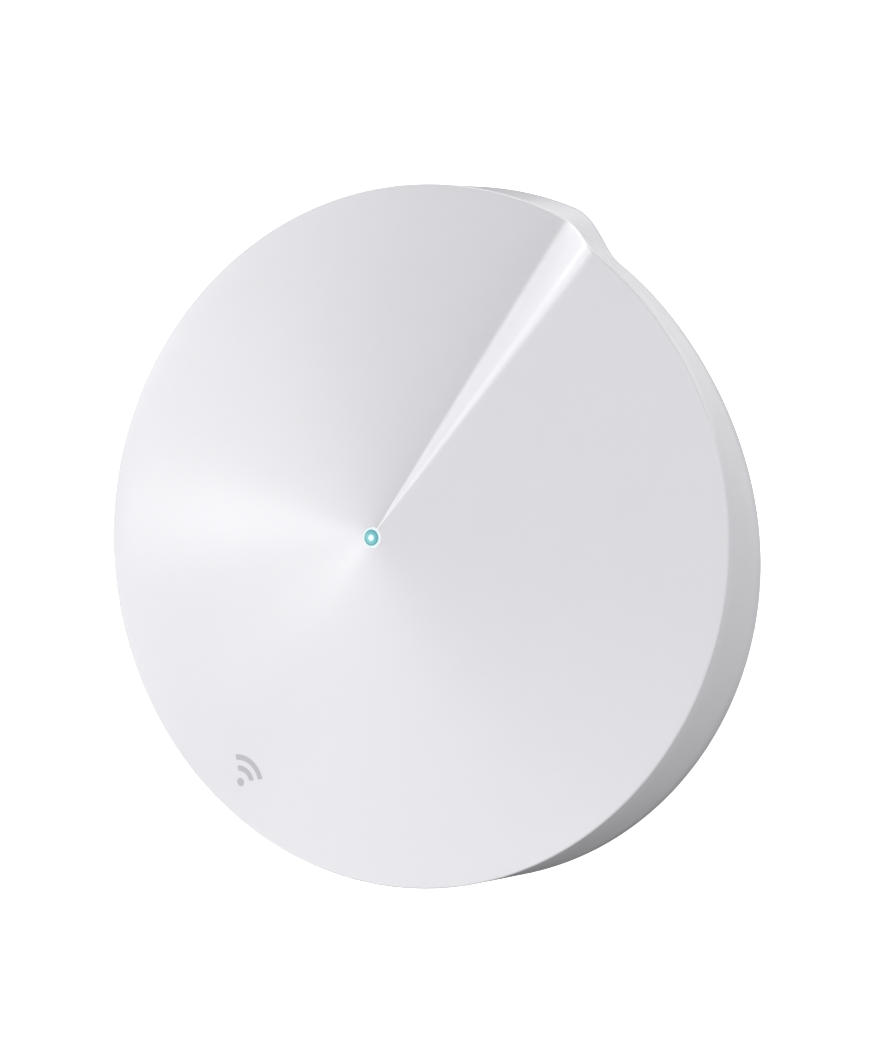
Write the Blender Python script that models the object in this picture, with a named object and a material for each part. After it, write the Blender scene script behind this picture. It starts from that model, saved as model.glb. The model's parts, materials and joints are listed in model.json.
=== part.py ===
"""Mesh wireless router: a low round puck whose face is a folded cone, with its board and sockets inside.

The frame has +Z up and its origin on the table, under the middle of the rim. +Y is the rear, where
the sockets are. The fold in the face runs from the middle to the rim at azimuth FOLD_AZIMUTH.
"""

import math

import bmesh
import bpy
import numpy as np
from mathutils import Matrix, Vector

MM = 0.001
GAP = 0.3 * MM  # clearance between neighbouring pieces

# Cover: face, fold and side wall
RIM_RADIUS = 60.0 * MM
APEX_Z = 37.8 * MM
HEM_Z = 14.4 * MM
COVER_THICKNESS = 2.0 * MM
EDGE_ROUND = 0.7 * MM
LIGHT_HOLE_RADIUS = 1.75 * MM
FOLD_AZIMUTH = math.radians(-36.0)
FOLD_WIDTH = 10.0  # degrees, from the foot of the fold up to its crest
FOLD_SOFTNESS = 0.09  # how much of that width rounds the foot
HEM_STEP_START = 346.0  # degrees; the hem steps inwards under the fold
HEM_STEP_WIDTH = 12.0
# Stations round the rim: clockwise angle from the fold in degrees, rim height over the hem, hem radius.
RIM_STATIONS = (
    (0.0, 19.2 * MM, 57.5 * MM),
    (20.0, 16.7 * MM, 57.5 * MM),
    (54.0, 15.6 * MM, 60.0 * MM),
    (100.0, 16.3 * MM, 61.7 * MM),
    (144.0, 16.6 * MM, 61.3 * MM),
    (234.0, 15.3 * MM, 60.4 * MM),
    (300.0, 11.6 * MM, 60.0 * MM),
    (350.0, 9.3 * MM, 61.9 * MM),
)
FACE_STEP = 3.6  # degrees between the mesh's radial lines, away from the fold
FINE_FROM = 342.0  # degrees; from here to the crest the lines are FINE_STEP apart
FINE_STEP = 1.5

# Base tray
BASE_BOTTOM_Z = 1.2 * MM
FLOOR_TOP_Z = 3.2 * MM
TRAY_TOP_Z = 14.0 * MM
TRAY_INSET = 0.8 * MM
TRAY_TAPER = 0.53  # inset per unit of depth
TRAY_THICKNESS = 2.0 * MM
LIP_INSET = 3.2 * MM  # the lip stands inside the cover's wall and hides the parting line
LIP_THICKNESS = 1.2 * MM
LIP_TOP_Z = 16.0 * MM
LABEL_RADIUS = 20.0 * MM
LABEL_THICKNESS = 0.4 * MM
LABEL_BOTTOM_Z = 1.0 * MM
VENT_WIDTH = 1.6 * MM
VENT_INNER_RADIUS = 24.5 * MM
VENT_OUTER_RADIUS = 36.5 * MM
VENT_COUNT = 40

# Feet, case screws and cover posts share one place
POST_RADIUS = 42.5 * MM
POST_AZIMUTHS = {"rear_right": 45, "rear_left": 135, "front_left": 225, "front_right": 315}
POST_OUTER = 3.0 * MM
POST_BOTTOM_Z = 8.3 * MM
FOOT_RADIUS = 5.0 * MM
FOOT_TOP_Z = 1.9 * MM
SCREW_SHANK_RADIUS = 1.25 * MM
SCREW_HEAD_RADIUS = 2.4 * MM

# Main board
BOARD_BOTTOM_Z = 8.0 * MM
BOARD_THICKNESS = 1.6 * MM
BOARD_TOP_Z = BOARD_BOTTOM_Z + BOARD_THICKNESS
BOARD_RADIUS = 38.5 * MM
BOARD_TAB_HALF = 24.3 * MM
BOARD_TAB_Y = 49.4 * MM
PART_Z = BOARD_TOP_Z + GAP  # underside of everything that stands on the board
BOARD_SCREWS = {
    "left": (-33.0 * MM, 8.0 * MM),
    "right": (33.0 * MM, 8.0 * MM),
    "front_left": (-20.0 * MM, -27.0 * MM),
    "front_right": (20.0 * MM, -27.0 * MM),
}

# Socket bay in the rear wall
BAY_HALF = 25.0 * MM
BAY_LOW_Z = 8.0 * MM
BAY_HIGH_Z = 25.2 * MM
BAY_WALL = 1.2 * MM
PANEL_FACE_Y = 51.5 * MM
PANEL_THICKNESS = 1.6 * MM
SOCKET_FACE_Y = 51.2 * MM
JACK_SIZE = Vector((15.9, 21.0, 13.4)) * MM
JACK_X = {"left": -3.2 * MM, "right": 14.2 * MM}
JACK_WALL = 0.4 * MM
PLUG_WIDTH = 11.8 * MM
PLUG_HEIGHT = 6.8 * MM
PLUG_DEPTH = 13.0 * MM
LATCH_WIDTH = 5.0 * MM
LATCH_HEIGHT = 2.2 * MM
USB_X = -18.0 * MM
USB_SIZE = Vector((9.1, 7.4, 3.3)) * MM

# Reset button and the switch that it works
BUTTON_AT = (24.0 * MM, -12.0 * MM)
BUTTON_RADIUS = 2.5 * MM
BUTTON_TRAVEL = 0.5 * MM

PALETTE = {
    # name: colour, roughness, metallic
    "gloss_white": ((0.80, 0.79, 0.83), 0.22, 0.0),
    "satin_white": ((0.74, 0.73, 0.76), 0.48, 0.0),
    "light_teal": ((0.16, 0.72, 0.74), 0.20, 0.0),
    "clear": ((0.86, 0.90, 0.92), 0.08, 0.0),
    "grey_rubber": ((0.30, 0.30, 0.32), 0.85, 0.0),
    "label_grey": ((0.62, 0.62, 0.65), 0.60, 0.0),
    "board_green": ((0.02, 0.16, 0.09), 0.40, 0.0),
    "chip_black": ((0.02, 0.02, 0.022), 0.45, 0.0),
    "socket_black": ((0.03, 0.03, 0.033), 0.50, 0.0),
    "tin": ((0.66, 0.66, 0.67), 0.32, 1.0),
    "gold": ((0.86, 0.62, 0.22), 0.25, 1.0),
    "steel": ((0.52, 0.52, 0.54), 0.35, 1.0),
    "aluminium": ((0.72, 0.72, 0.74), 0.40, 1.0),
    "pad_blue": ((0.42, 0.52, 0.62), 0.80, 0.0),
    "led_white": ((0.92, 0.92, 0.86), 0.30, 0.0),
    "ferrite": ((0.10, 0.10, 0.11), 0.70, 0.0),
}


# ---------------------------------------------------------------- helpers


def clear_scene():
    for obj in list(bpy.data.objects):
        bpy.data.objects.remove(obj, do_unlink=True)


def material(name):
    found = bpy.data.materials.get(name)
    if found:
        return found
    colour, roughness, metallic = PALETTE[name]
    made = bpy.data.materials.new(name)
    made.use_nodes = True
    shader = made.node_tree.nodes["Principled BSDF"]
    shader.inputs["Base Color"].default_value = (*colour, 1.0)
    shader.inputs["Roughness"].default_value = roughness
    shader.inputs["Metallic"].default_value = metallic
    return made


def put(name, bm, finish, at=(0.0, 0.0, 0.0)):
    """Makes an object of the bmesh, with its origin at the point given, in the same frame."""
    bmesh.ops.recalc_face_normals(bm, faces=bm.faces)
    bmesh.ops.translate(bm, verts=bm.verts, vec=-Vector(at))
    mesh = bpy.data.meshes.new(name)
    bm.to_mesh(mesh)
    bm.free()
    mesh.shade_smooth()
    mesh.set_sharp_from_angle(angle=math.radians(32.0))
    mesh.materials.append(material(finish))
    obj = bpy.data.objects.new(name, mesh)
    obj.location = at
    bpy.context.scene.collection.objects.link(obj)
    return obj


def combine(obj, bm, operation):
    """Joins the bmesh to the object or cuts it away, then drops the helper."""
    tool = put(obj.name + "_tool", bm, "steel")
    modifier = obj.modifiers.new("combine", "BOOLEAN")
    modifier.operation = operation
    modifier.solver = "EXACT"
    modifier.object = tool
    bpy.context.view_layer.update()
    graph = bpy.context.evaluated_depsgraph_get()
    result = bpy.data.meshes.new_from_object(obj.evaluated_get(graph))
    obj.modifiers.remove(modifier)
    obj.data = result
    result.name = obj.name
    while len(result.materials) > 1:
        result.materials.pop()
    bpy.data.objects.remove(tool, do_unlink=True)
    result.shade_smooth()
    result.set_sharp_from_angle(angle=math.radians(32.0))


def add_block(bm, low, high, bevel=0.0):
    """A box between two corners, with its edges chamfered."""
    low, high = Vector(low), Vector(high)
    made = bmesh.ops.create_cube(bm, size=1.0)["verts"]
    size = high - low
    bmesh.ops.scale(bm, verts=made, vec=size)
    bmesh.ops.translate(bm, verts=made, vec=(low + high) / 2)
    if bevel:
        edges = list({edge for vert in made for edge in vert.link_edges})
        bmesh.ops.bevel(bm, geom=edges, offset=bevel, segments=1, affect="EDGES")


def block(low, high, bevel=0.0):
    bm = bmesh.new()
    add_block(bm, low, high, bevel)
    return bm


def add_rod(bm, centre, low_z, high_z, radius, segments=20):
    """An upright cylinder."""
    depth = high_z - low_z
    place = Matrix.Translation((centre[0], centre[1], (low_z + high_z) / 2))
    bmesh.ops.create_cone(
        bm, cap_ends=True, segments=segments, radius1=radius, radius2=radius, depth=depth, matrix=place
    )


def rod(centre, low_z, high_z, radius, segments=20):
    bm = bmesh.new()
    add_rod(bm, centre, low_z, high_z, radius, segments)
    return bm


def turned(profile, centre=(0.0, 0.0), segments=24):
    """A closed solid turned round an upright axis. The profile holds (radius, z) pairs, and
    starts and ends on the axis."""
    rings = [
        [
            (
                centre[0] + radius * math.cos(math.tau * i / segments),
                centre[1] + radius * math.sin(math.tau * i / segments),
                z,
            )
            for i in range(segments)
        ]
        for radius, z in profile
    ]
    return stacked(rings)


def stacked(rings, endless=False):
    """A skin over rings of equal length: capped at both ends, or joined back to the first ring."""
    bm = bmesh.new()
    loops = [[bm.verts.new(point) for point in ring] for ring in rings]
    pairs = list(zip(loops, loops[1:]))
    if endless:
        pairs.append((loops[-1], loops[0]))
    for lower, upper in pairs:
        for i in range(len(lower)):
            j = (i + 1) % len(lower)
            bm.faces.new((lower[i], lower[j], upper[j], upper[i]))
    if not endless:
        bm.faces.new(loops[0])
        bm.faces.new(loops[-1])
    return bm


def plate(outline, low_z, high_z):
    """An upright extrusion of a flat outline, given as (x, y) pairs."""
    return stacked([[(x, y, low_z) for x, y in outline], [(x, y, high_z) for x, y in outline]])


def absorb(bm, other):
    """Adds the other bmesh's shapes to the first one."""
    mesh = bpy.data.meshes.new("shape")
    other.to_mesh(mesh)
    other.free()
    bm.from_mesh(mesh)
    bpy.data.meshes.remove(mesh)


def polar(radius, degrees):
    angle = math.radians(degrees)
    return (radius * math.cos(angle), radius * math.sin(angle))


# ---------------------------------------------------------------- the rim's shape


def natural_spline(knots, values, at):
    """A smooth curve through the knots, with no bend at its two ends."""
    knots, values = np.array(knots), np.array(values)
    step = np.diff(knots)
    slope = np.diff(values) / step
    count = len(knots)
    system = np.eye(count)
    right = np.zeros(count)
    for i in range(1, count - 1):
        system[i, i - 1] = step[i - 1]
        system[i, i] = 2.0 * (step[i - 1] + step[i])
        system[i, i + 1] = step[i]
        right[i] = 6.0 * (slope[i] - slope[i - 1])
    bend = np.linalg.solve(system, right)
    i = int(np.clip(np.searchsorted(knots, at) - 1, 0, count - 2))
    h, a, b = step[i], knots[i + 1] - at, at - knots[i]
    cubic = (bend[i] * a**3 + bend[i + 1] * b**3) / (6.0 * h)
    return float(
        cubic + (values[i] / h - bend[i] * h / 6.0) * a + (values[i + 1] / h - bend[i + 1] * h / 6.0) * b
    )


def rim_share(angle):
    """How far up the fold's ramp an angle is: 0 before its rounded foot, 1 at its sharp crest."""
    past = (angle - (360.0 - FOLD_WIDTH)) / FOLD_WIDTH
    return (past + math.hypot(past, FOLD_SOFTNESS)) / (1.0 + math.hypot(1.0, FOLD_SOFTNESS))


def hem_share(angle):
    """How far the hem has stepped inwards at an angle, from 0 to 1, with both ends rounded."""
    past = min(1.0, max(0.0, (angle - HEM_STEP_START) / HEM_STEP_WIDTH))
    return past * past * (3.0 - 2.0 * past)


def round_the_rim(angle):
    """The rim's height over the hem and the hem's radius at a clockwise angle from the fold, in degrees."""
    knots, heights, radii = zip(*RIM_STATIONS)
    before = min(angle, knots[-1])
    height = natural_spline(knots, heights, before)
    radius = natural_spline(knots, radii, before)
    height += rim_share(angle) * (heights[0] - height)
    radius += hem_share(angle) * (radii[0] - radius)
    return height, radius


def rim_lines():
    """(azimuth, rim z, hem radius) for each radial line of the mesh, going clockwise."""
    count = round(FINE_FROM / FACE_STEP)
    fine_count = round((360.0 - FINE_FROM) / FINE_STEP)
    angles = [FINE_FROM * i / count for i in range(count)]
    angles += [FINE_FROM + FINE_STEP * i for i in range(fine_count)]
    lines = []
    for angle in angles:
        height, hem_radius = round_the_rim(angle)
        lines.append((FOLD_AZIMUTH - math.radians(angle), HEM_Z + height, hem_radius))
    return lines


def face_z(radius, rim_z):
    """The face's height, on the straight line from the apex to the rim."""
    return APEX_Z + (rim_z - APEX_Z) * radius / RIM_RADIUS


# ---------------------------------------------------------------- case


def build_top_cover():
    """The face, its rounded edge and the side wall, as one skin of even thickness."""
    lines = rim_lines()
    inner_radius = RIM_RADIUS - COVER_THICKNESS
    rows = [[] for _ in range(9)]
    for azimuth, rim_z, hem_radius in lines:
        edge_in = RIM_RADIUS - EDGE_ROUND
        half = EDGE_ROUND * (1 - math.sqrt(0.5))
        outline = (
            (LIGHT_HOLE_RADIUS, face_z(LIGHT_HOLE_RADIUS, rim_z)),
            (edge_in, face_z(edge_in, rim_z)),
            (RIM_RADIUS - half, rim_z - half),
            (RIM_RADIUS, rim_z - EDGE_ROUND),
            (hem_radius, HEM_Z),
            (hem_radius - COVER_THICKNESS, HEM_Z),
            (inner_radius, rim_z - EDGE_ROUND - COVER_THICKNESS),
            (inner_radius - EDGE_ROUND, face_z(inner_radius, rim_z) - COVER_THICKNESS),
            (LIGHT_HOLE_RADIUS, face_z(LIGHT_HOLE_RADIUS, rim_z) - COVER_THICKNESS),
        )
        for row, (radius, z) in zip(rows, outline):
            row.append((radius * math.cos(azimuth), radius * math.sin(azimuth), z))
    cover = put("top_cover", stacked(rows, endless=True), "gloss_white")
    posts = bmesh.new()
    pilots = bmesh.new()
    for degrees in POST_AZIMUTHS.values():
        centre = polar(POST_RADIUS, degrees)
        azimuth = math.radians(degrees)
        clockwise = math.degrees(FOLD_AZIMUTH - azimuth) % 360.0
        rim_z = HEM_Z + round_the_rim(clockwise)[0]
        top = face_z(POST_RADIUS, rim_z) - COVER_THICKNESS / 2
        add_rod(posts, centre, POST_BOTTOM_Z, top, POST_OUTER, 18)
        add_rod(pilots, centre, POST_BOTTOM_Z - MM, POST_BOTTOM_Z + 8.0 * MM, SCREW_SHANK_RADIUS + GAP, 14)
    combine(cover, posts, "UNION")
    combine(cover, pilots, "DIFFERENCE")
    notch = (BAY_HALF + GAP, 70.0 * MM, BAY_HIGH_Z + GAP)
    combine(cover, block((-notch[0], 48.0 * MM, HEM_Z - 3.0 * MM), notch), "DIFFERENCE")


def build_base_case():
    """The tray: an inset, tapering wall on a flat floor, with bosses, vents and the rear cut."""
    lines = rim_lines()
    fillet = 1.2 * MM
    rows = [[] for _ in range(8)]
    for azimuth, _, hem_radius in lines:
        top = hem_radius - TRAY_INSET
        low = top - TRAY_TAPER * (TRAY_TOP_Z - BASE_BOTTOM_Z - fillet)
        floor = low - TRAY_THICKNESS
        lip_outer = hem_radius - LIP_INSET
        lip_inner = lip_outer - LIP_THICKNESS
        outline = (
            (floor, FLOOR_TOP_Z),
            (lip_inner, TRAY_TOP_Z - TRAY_THICKNESS),
            (lip_inner, LIP_TOP_Z),
            (lip_outer, LIP_TOP_Z),
            (lip_outer, TRAY_TOP_Z),
            (top, TRAY_TOP_Z),
            (low, BASE_BOTTOM_Z + fillet),
            (low - fillet, BASE_BOTTOM_Z),
        )
        for row, (radius, z) in zip(rows, outline):
            row.append((radius * math.cos(azimuth), radius * math.sin(azimuth), z))
    base = put("base_case", stacked(rows), "satin_white")
    bosses = bmesh.new()
    holes = bmesh.new()
    boss_top = BOARD_BOTTOM_Z - GAP
    for degrees in POST_AZIMUTHS.values():
        centre = polar(POST_RADIUS, degrees)
        add_rod(bosses, centre, FLOOR_TOP_Z - MM, boss_top, 4.0 * MM, 20)
        add_rod(holes, centre, 0.0, FOOT_TOP_Z + GAP, FOOT_RADIUS + GAP, 24)
    for centre in BOARD_SCREWS.values():
        add_rod(bosses, centre, FLOOR_TOP_Z - MM, boss_top, 3.0 * MM, 16)
    add_rod(holes, (0.0, 0.0), 0.0, LABEL_BOTTOM_Z + LABEL_THICKNESS + GAP, LABEL_RADIUS + GAP, 48)
    combine(base, bosses, "UNION")
    combine(base, holes, "DIFFERENCE")
    deep = bmesh.new()
    for degrees in POST_AZIMUTHS.values():
        centre = polar(POST_RADIUS, degrees)
        profile = (
            (SCREW_HEAD_RADIUS + GAP, FOOT_TOP_Z),
            (SCREW_HEAD_RADIUS + GAP, 5.0 * MM),
            (SCREW_SHANK_RADIUS + GAP, 5.0 * MM),
            (SCREW_SHANK_RADIUS + GAP, boss_top + MM),
        )
        absorb(deep, turned(profile, centre, 16))
    for centre in BOARD_SCREWS.values():
        add_rod(deep, centre, FLOOR_TOP_Z + 0.8 * MM, boss_top + MM, 1.0 * MM + GAP, 12)
    add_rod(deep, BUTTON_AT, 0.0, FLOOR_TOP_Z + MM, BUTTON_RADIUS + GAP, 24)
    combine(base, deep, "DIFFERENCE")
    combine(base, vents(), "DIFFERENCE")
    low = (-BAY_HALF - GAP, 46.0 * MM, BAY_LOW_Z - GAP)
    combine(base, block(low, (BAY_HALF + GAP, 70.0 * MM, 20.0 * MM)), "DIFFERENCE")


def vents():
    """Radial slots through the floor, left out where a boss or the button stands."""
    bm = bmesh.new()
    taken = [*BOARD_SCREWS.values(), BUTTON_AT]
    clear = 5.6 * MM
    for i in range(VENT_COUNT):
        degrees = 360.0 * (i + 0.5) / VENT_COUNT
        middle = (VENT_INNER_RADIUS + VENT_OUTER_RADIUS) / 2
        samples = [polar(r, degrees) for r in (VENT_INNER_RADIUS, middle, VENT_OUTER_RADIUS)]
        if any(math.dist(s, t) < clear for s in samples for t in taken):
            continue
        low = (VENT_INNER_RADIUS, -VENT_WIDTH / 2, 0.0)
        slot = block(low, (VENT_OUTER_RADIUS, VENT_WIDTH / 2, FLOOR_TOP_Z + MM))
        turn = Matrix.Rotation(math.radians(degrees), 3, "Z")
        bmesh.ops.rotate(slot, verts=slot.verts, cent=(0, 0, 0), matrix=turn)
        absorb(bm, slot)
    return bm


def build_feet():
    for place, degrees in POST_AZIMUTHS.items():
        profile = (
            (FOOT_RADIUS - 0.6 * MM, 0.0),
            (FOOT_RADIUS, 0.6 * MM),
            (FOOT_RADIUS, FOOT_TOP_Z),
        )
        put(f"foot_{place}", turned(profile, polar(POST_RADIUS, degrees), 28), "grey_rubber")


def build_rating_label():
    """A blank round label in a shallow recess of the underside."""
    label = rod((0.0, 0.0), LABEL_BOTTOM_Z, LABEL_BOTTOM_Z + LABEL_THICKNESS, LABEL_RADIUS, 48)
    put("rating_label", label, "label_grey")


def pan_head_screw(name, centre, head_low_z, head_high_z, tip_z, head_radius, shank_radius):
    """A screw with a cross recess, its head at one end and its shank running to tip_z."""
    up = 1.0 if tip_z > head_high_z else -1.0
    outer = head_low_z if up > 0 else head_high_z
    inner = head_high_z if up > 0 else head_low_z
    profile = (
        (head_radius * 0.72, outer),
        (head_radius, outer + up * 0.5 * MM),
        (head_radius, inner),
        (shank_radius, inner),
        (shank_radius, tip_z - up * MM),
        (shank_radius * 0.4, tip_z),
    )
    screw = put(name, turned(profile, centre, 16), "steel")
    depth = 0.9 * MM
    low, high = sorted((outer - up * MM, outer + up * depth))
    half_long, half_wide = head_radius * 0.55, head_radius * 0.14
    x, y = centre
    cross = plate(
        [
            (x + half_long, y - half_wide),
            (x + half_long, y + half_wide),
            (x + half_wide, y + half_wide),
            (x + half_wide, y + half_long),
            (x - half_wide, y + half_long),
            (x - half_wide, y + half_wide),
            (x - half_long, y + half_wide),
            (x - half_long, y - half_wide),
            (x - half_wide, y - half_wide),
            (x - half_wide, y - half_long),
            (x + half_wide, y - half_long),
            (x + half_wide, y - half_wide),
        ],
        low,
        high,
    )
    combine(screw, cross, "DIFFERENCE")


def build_screws():
    for place, degrees in POST_AZIMUTHS.items():
        centre = polar(POST_RADIUS, degrees)
        low = FOOT_TOP_Z + GAP
        name = f"case_screw_{place}"
        pan_head_screw(name, centre, low, 4.7 * MM, 14.5 * MM, SCREW_HEAD_RADIUS, SCREW_SHANK_RADIUS)
    for place, centre in BOARD_SCREWS.items():
        low = BOARD_TOP_Z + GAP
        pan_head_screw(f"board_screw_{place}", centre, low, low + 1.4 * MM, 4.6 * MM, 2.0 * MM, 1.0 * MM)


def build_reset():
    """The button in the floor, and the switch on the underside of the board above it."""
    stem = (
        (BUTTON_RADIUS - 0.4 * MM, 1.5 * MM),
        (BUTTON_RADIUS, 1.9 * MM),
        (BUTTON_RADIUS, FLOOR_TOP_Z + GAP),
        (BUTTON_RADIUS + 1.3 * MM, FLOOR_TOP_Z + GAP),
        (BUTTON_RADIUS + 1.3 * MM, 4.3 * MM),
    )
    put("reset_button", turned(stem, BUTTON_AT, 24), "grey_rubber", (*BUTTON_AT, 1.5 * MM))
    plunger_low = 4.3 * MM + GAP
    plunger_high = 6.4 * MM
    put(
        "reset_switch_plunger",
        rod(BUTTON_AT, plunger_low, plunger_high, 1.3 * MM, 16),
        "chip_black",
        (*BUTTON_AT, plunger_low),
    )
    x, y = BUTTON_AT
    half = 3.0 * MM
    can = block((x - half, y - half, 5.5 * MM), (x + half, y + half, BOARD_BOTTOM_Z - GAP), 0.3 * MM)
    body = put("reset_switch_body", can, "steel")
    hole_top = plunger_high + BUTTON_TRAVEL + GAP
    combine(body, rod(BUTTON_AT, 4.0 * MM, hole_top, 1.3 * MM + GAP, 16), "DIFFERENCE")


# ---------------------------------------------------------------- sockets


def case_envelope(inset):
    """The case's outer form as a turned solid, a little inside its walls."""
    hem = 60.4 * MM - TRAY_INSET - inset
    low = hem - TRAY_TAPER * (TRAY_TOP_Z - BASE_BOTTOM_Z)
    profile = ((low, BASE_BOTTOM_Z), (hem, TRAY_TOP_Z), (hem, 30.0 * MM))
    return turned(profile, segments=96)


def build_port_frame():
    """The recessed panel round the sockets, with four walls that reach out to the case."""
    back_y = PANEL_FACE_Y - PANEL_THICKNESS
    frame = put(
        "port_frame", block((-BAY_HALF, back_y, BAY_LOW_Z), (BAY_HALF, 64.0 * MM, BAY_HIGH_Z)), "satin_white"
    )
    low = (-BAY_HALF + BAY_WALL, PANEL_FACE_Y, BAY_LOW_Z + BAY_WALL)
    high = (BAY_HALF - BAY_WALL, 70.0 * MM, BAY_HIGH_Z - BAY_WALL)
    combine(frame, block(low, high), "DIFFERENCE")
    windows = bmesh.new()
    for x in JACK_X.values():
        half = JACK_SIZE.x / 2 + GAP
        add_block(
            windows,
            (x - half, 45.0 * MM, PART_Z - GAP),
            (x + half, 55.0 * MM, PART_Z + JACK_SIZE.z + GAP),
        )
    half = USB_SIZE.x / 2 + GAP
    add_block(
        windows,
        (USB_X - half, 45.0 * MM, PART_Z - GAP),
        (USB_X + half, 55.0 * MM, PART_Z + USB_SIZE.z + GAP),
    )
    combine(frame, windows, "DIFFERENCE")
    combine(frame, case_envelope(GAP), "INTERSECT")


def build_jacks():
    front = SOCKET_FACE_Y
    back = front - JACK_SIZE.y
    for side, x in JACK_X.items():
        half = JACK_SIZE.x / 2
        low_z, high_z = PART_Z, PART_Z + JACK_SIZE.z
        box = block((x - half, back, low_z), (x + half, front, high_z))
        shell = put(f"ethernet_shell_{side}", box, "tin")
        hollow = block(
            (x - half + JACK_WALL, back + JACK_WALL, low_z + JACK_WALL),
            (x + half - JACK_WALL, front + MM, high_z - JACK_WALL),
        )
        combine(shell, hollow, "DIFFERENCE")
        inset = JACK_WALL + GAP
        insert_low = (x - half + inset, back + inset, low_z + inset)
        insert_high = (x + half - inset, front - inset, high_z - inset)
        insert = put(f"ethernet_insert_{side}", block(insert_low, insert_high), "socket_black")
        plug_low = low_z + 3.6 * MM
        mouth = bmesh.new()
        add_block(
            mouth,
            (x - PLUG_WIDTH / 2, front - PLUG_DEPTH, plug_low),
            (x + PLUG_WIDTH / 2, front + MM, plug_low + PLUG_HEIGHT),
        )
        combine(insert, mouth, "DIFFERENCE")
        latch = block(
            (x - LATCH_WIDTH / 2, front - PLUG_DEPTH, plug_low - LATCH_HEIGHT),
            (x + LATCH_WIDTH / 2, front + MM, plug_low + MM),
        )
        combine(insert, latch, "DIFFERENCE")
        build_contacts(side, x, plug_low + PLUG_HEIGHT, back + inset)


def build_contacts(side, x, roof_z, insert_back):
    """Eight spring fingers on one bar, in a groove under the roof of the socket."""
    pitch = 1.02 * MM
    width = 0.45 * MM
    bar_half = 4.4 * MM
    groove_low = roof_z - 0.2 * MM
    groove_high = roof_z + 1.2 * MM
    groove_front = SOCKET_FACE_Y - 2.4 * MM
    groove_back = SOCKET_FACE_Y - PLUG_DEPTH
    insert = bpy.data.objects[f"ethernet_insert_{side}"]
    combine(
        insert,
        block((x - bar_half - GAP, groove_back, groove_low), (x + bar_half + GAP, groove_front, groove_high)),
        "DIFFERENCE",
    )
    outline = [
        (groove_front - GAP, roof_z + 0.45 * MM),
        (groove_front - GAP, roof_z + 0.8 * MM),
        (groove_back + GAP, roof_z + 0.8 * MM),
        (groove_back + GAP, roof_z - 1.6 * MM),
        (groove_back + GAP + 0.4 * MM, roof_z - 1.8 * MM),
        (groove_front - 1.4 * MM, roof_z + 0.3 * MM),
    ]
    bm = bmesh.new()
    for i in range(8):
        finger_x = x + (i - 3.5) * pitch
        loops = [
            [bm.verts.new((finger_x + offset, y, z)) for y, z in outline]
            for offset in (-width / 2, width / 2)
        ]
        for a in range(len(outline)):
            b = (a + 1) % len(outline)
            bm.faces.new((loops[0][a], loops[0][b], loops[1][b], loops[1][a]))
        bm.faces.new(loops[0])
        bm.faces.new(loops[1])
    contacts = put(f"ethernet_contacts_{side}", bm, "gold")
    bar_low = (x - bar_half, groove_back + GAP + 0.6 * MM, roof_z + 0.5 * MM)
    bar_high = (x + bar_half, groove_back + 2.2 * MM, roof_z + 0.9 * MM)
    combine(contacts, block(bar_low, bar_high), "UNION")


def build_usb():
    """The power inlet: a folded shell with round ends, and the tongue inside it."""
    half_w, half_h = USB_SIZE.x / 2, USB_SIZE.z / 2
    mid_z = PART_Z + half_h
    front, back = SOCKET_FACE_Y, SOCKET_FACE_Y - USB_SIZE.y

    def oval(inset, steps=6):
        points = []
        radius = half_h - inset
        for centre_x, start in ((half_w - half_h, -90.0), (-half_w + half_h, 90.0)):
            for i in range(steps + 1):
                angle = math.radians(start + 180.0 * i / steps)
                points.append((USB_X + centre_x + radius * math.cos(angle), mid_z + radius * math.sin(angle)))
        return points

    wall = 0.3 * MM

    def ring(outline, y):
        return [(x, y, z) for x, z in outline]

    rows = (
        ring(oval(0.0), back),
        ring(oval(0.0), front),
        ring(oval(wall), front),
        ring(oval(wall), back + wall),
    )
    put("usb_c_shell", stacked(rows), "tin")
    tongue_half = 3.3 * MM
    put(
        "usb_c_tongue",
        block(
            (USB_X - tongue_half, back + wall + GAP, mid_z - 0.35 * MM),
            (USB_X + tongue_half, front - 1.2 * MM, mid_z + 0.35 * MM),
            0.1 * MM,
        ),
        "socket_black",
    )


# ---------------------------------------------------------------- board and what stands on it


def build_main_board():
    segments = 72
    tab_angle = math.asin(BOARD_TAB_HALF / BOARD_RADIUS)
    start = math.pi / 2 + tab_angle
    sweep = math.tau - 2 * tab_angle
    outline = [
        (
            BOARD_RADIUS * math.cos(start + sweep * i / segments),
            BOARD_RADIUS * math.sin(start + sweep * i / segments),
        )
        for i in range(segments + 1)
    ]
    outline += [(BOARD_TAB_HALF, BOARD_TAB_Y), (-BOARD_TAB_HALF, BOARD_TAB_Y)]
    board = put("main_board", plate(outline, BOARD_BOTTOM_Z, BOARD_TOP_Z), "board_green")
    holes = bmesh.new()
    for centre in BOARD_SCREWS.values():
        add_rod(holes, centre, BOARD_BOTTOM_Z - MM, BOARD_TOP_Z + MM, 1.0 * MM + GAP, 14)
    combine(board, holes, "DIFFERENCE")


# Shield cans: name, low corner, high corner, height
CANS = {
    "processor_shield": ((-13.0, -30.0), (13.0, -6.0)),
    "radio_shield_left": ((-29.0, -14.0), (-16.0, 3.0)),
    "radio_shield_right": ((16.0, -14.0), (29.0, 3.0)),
}
CAN_HEIGHT = 2.8 * MM
PAD_LOW_Z = PART_Z + CAN_HEIGHT + GAP
PAD_THICKNESS = 0.8 * MM


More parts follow.
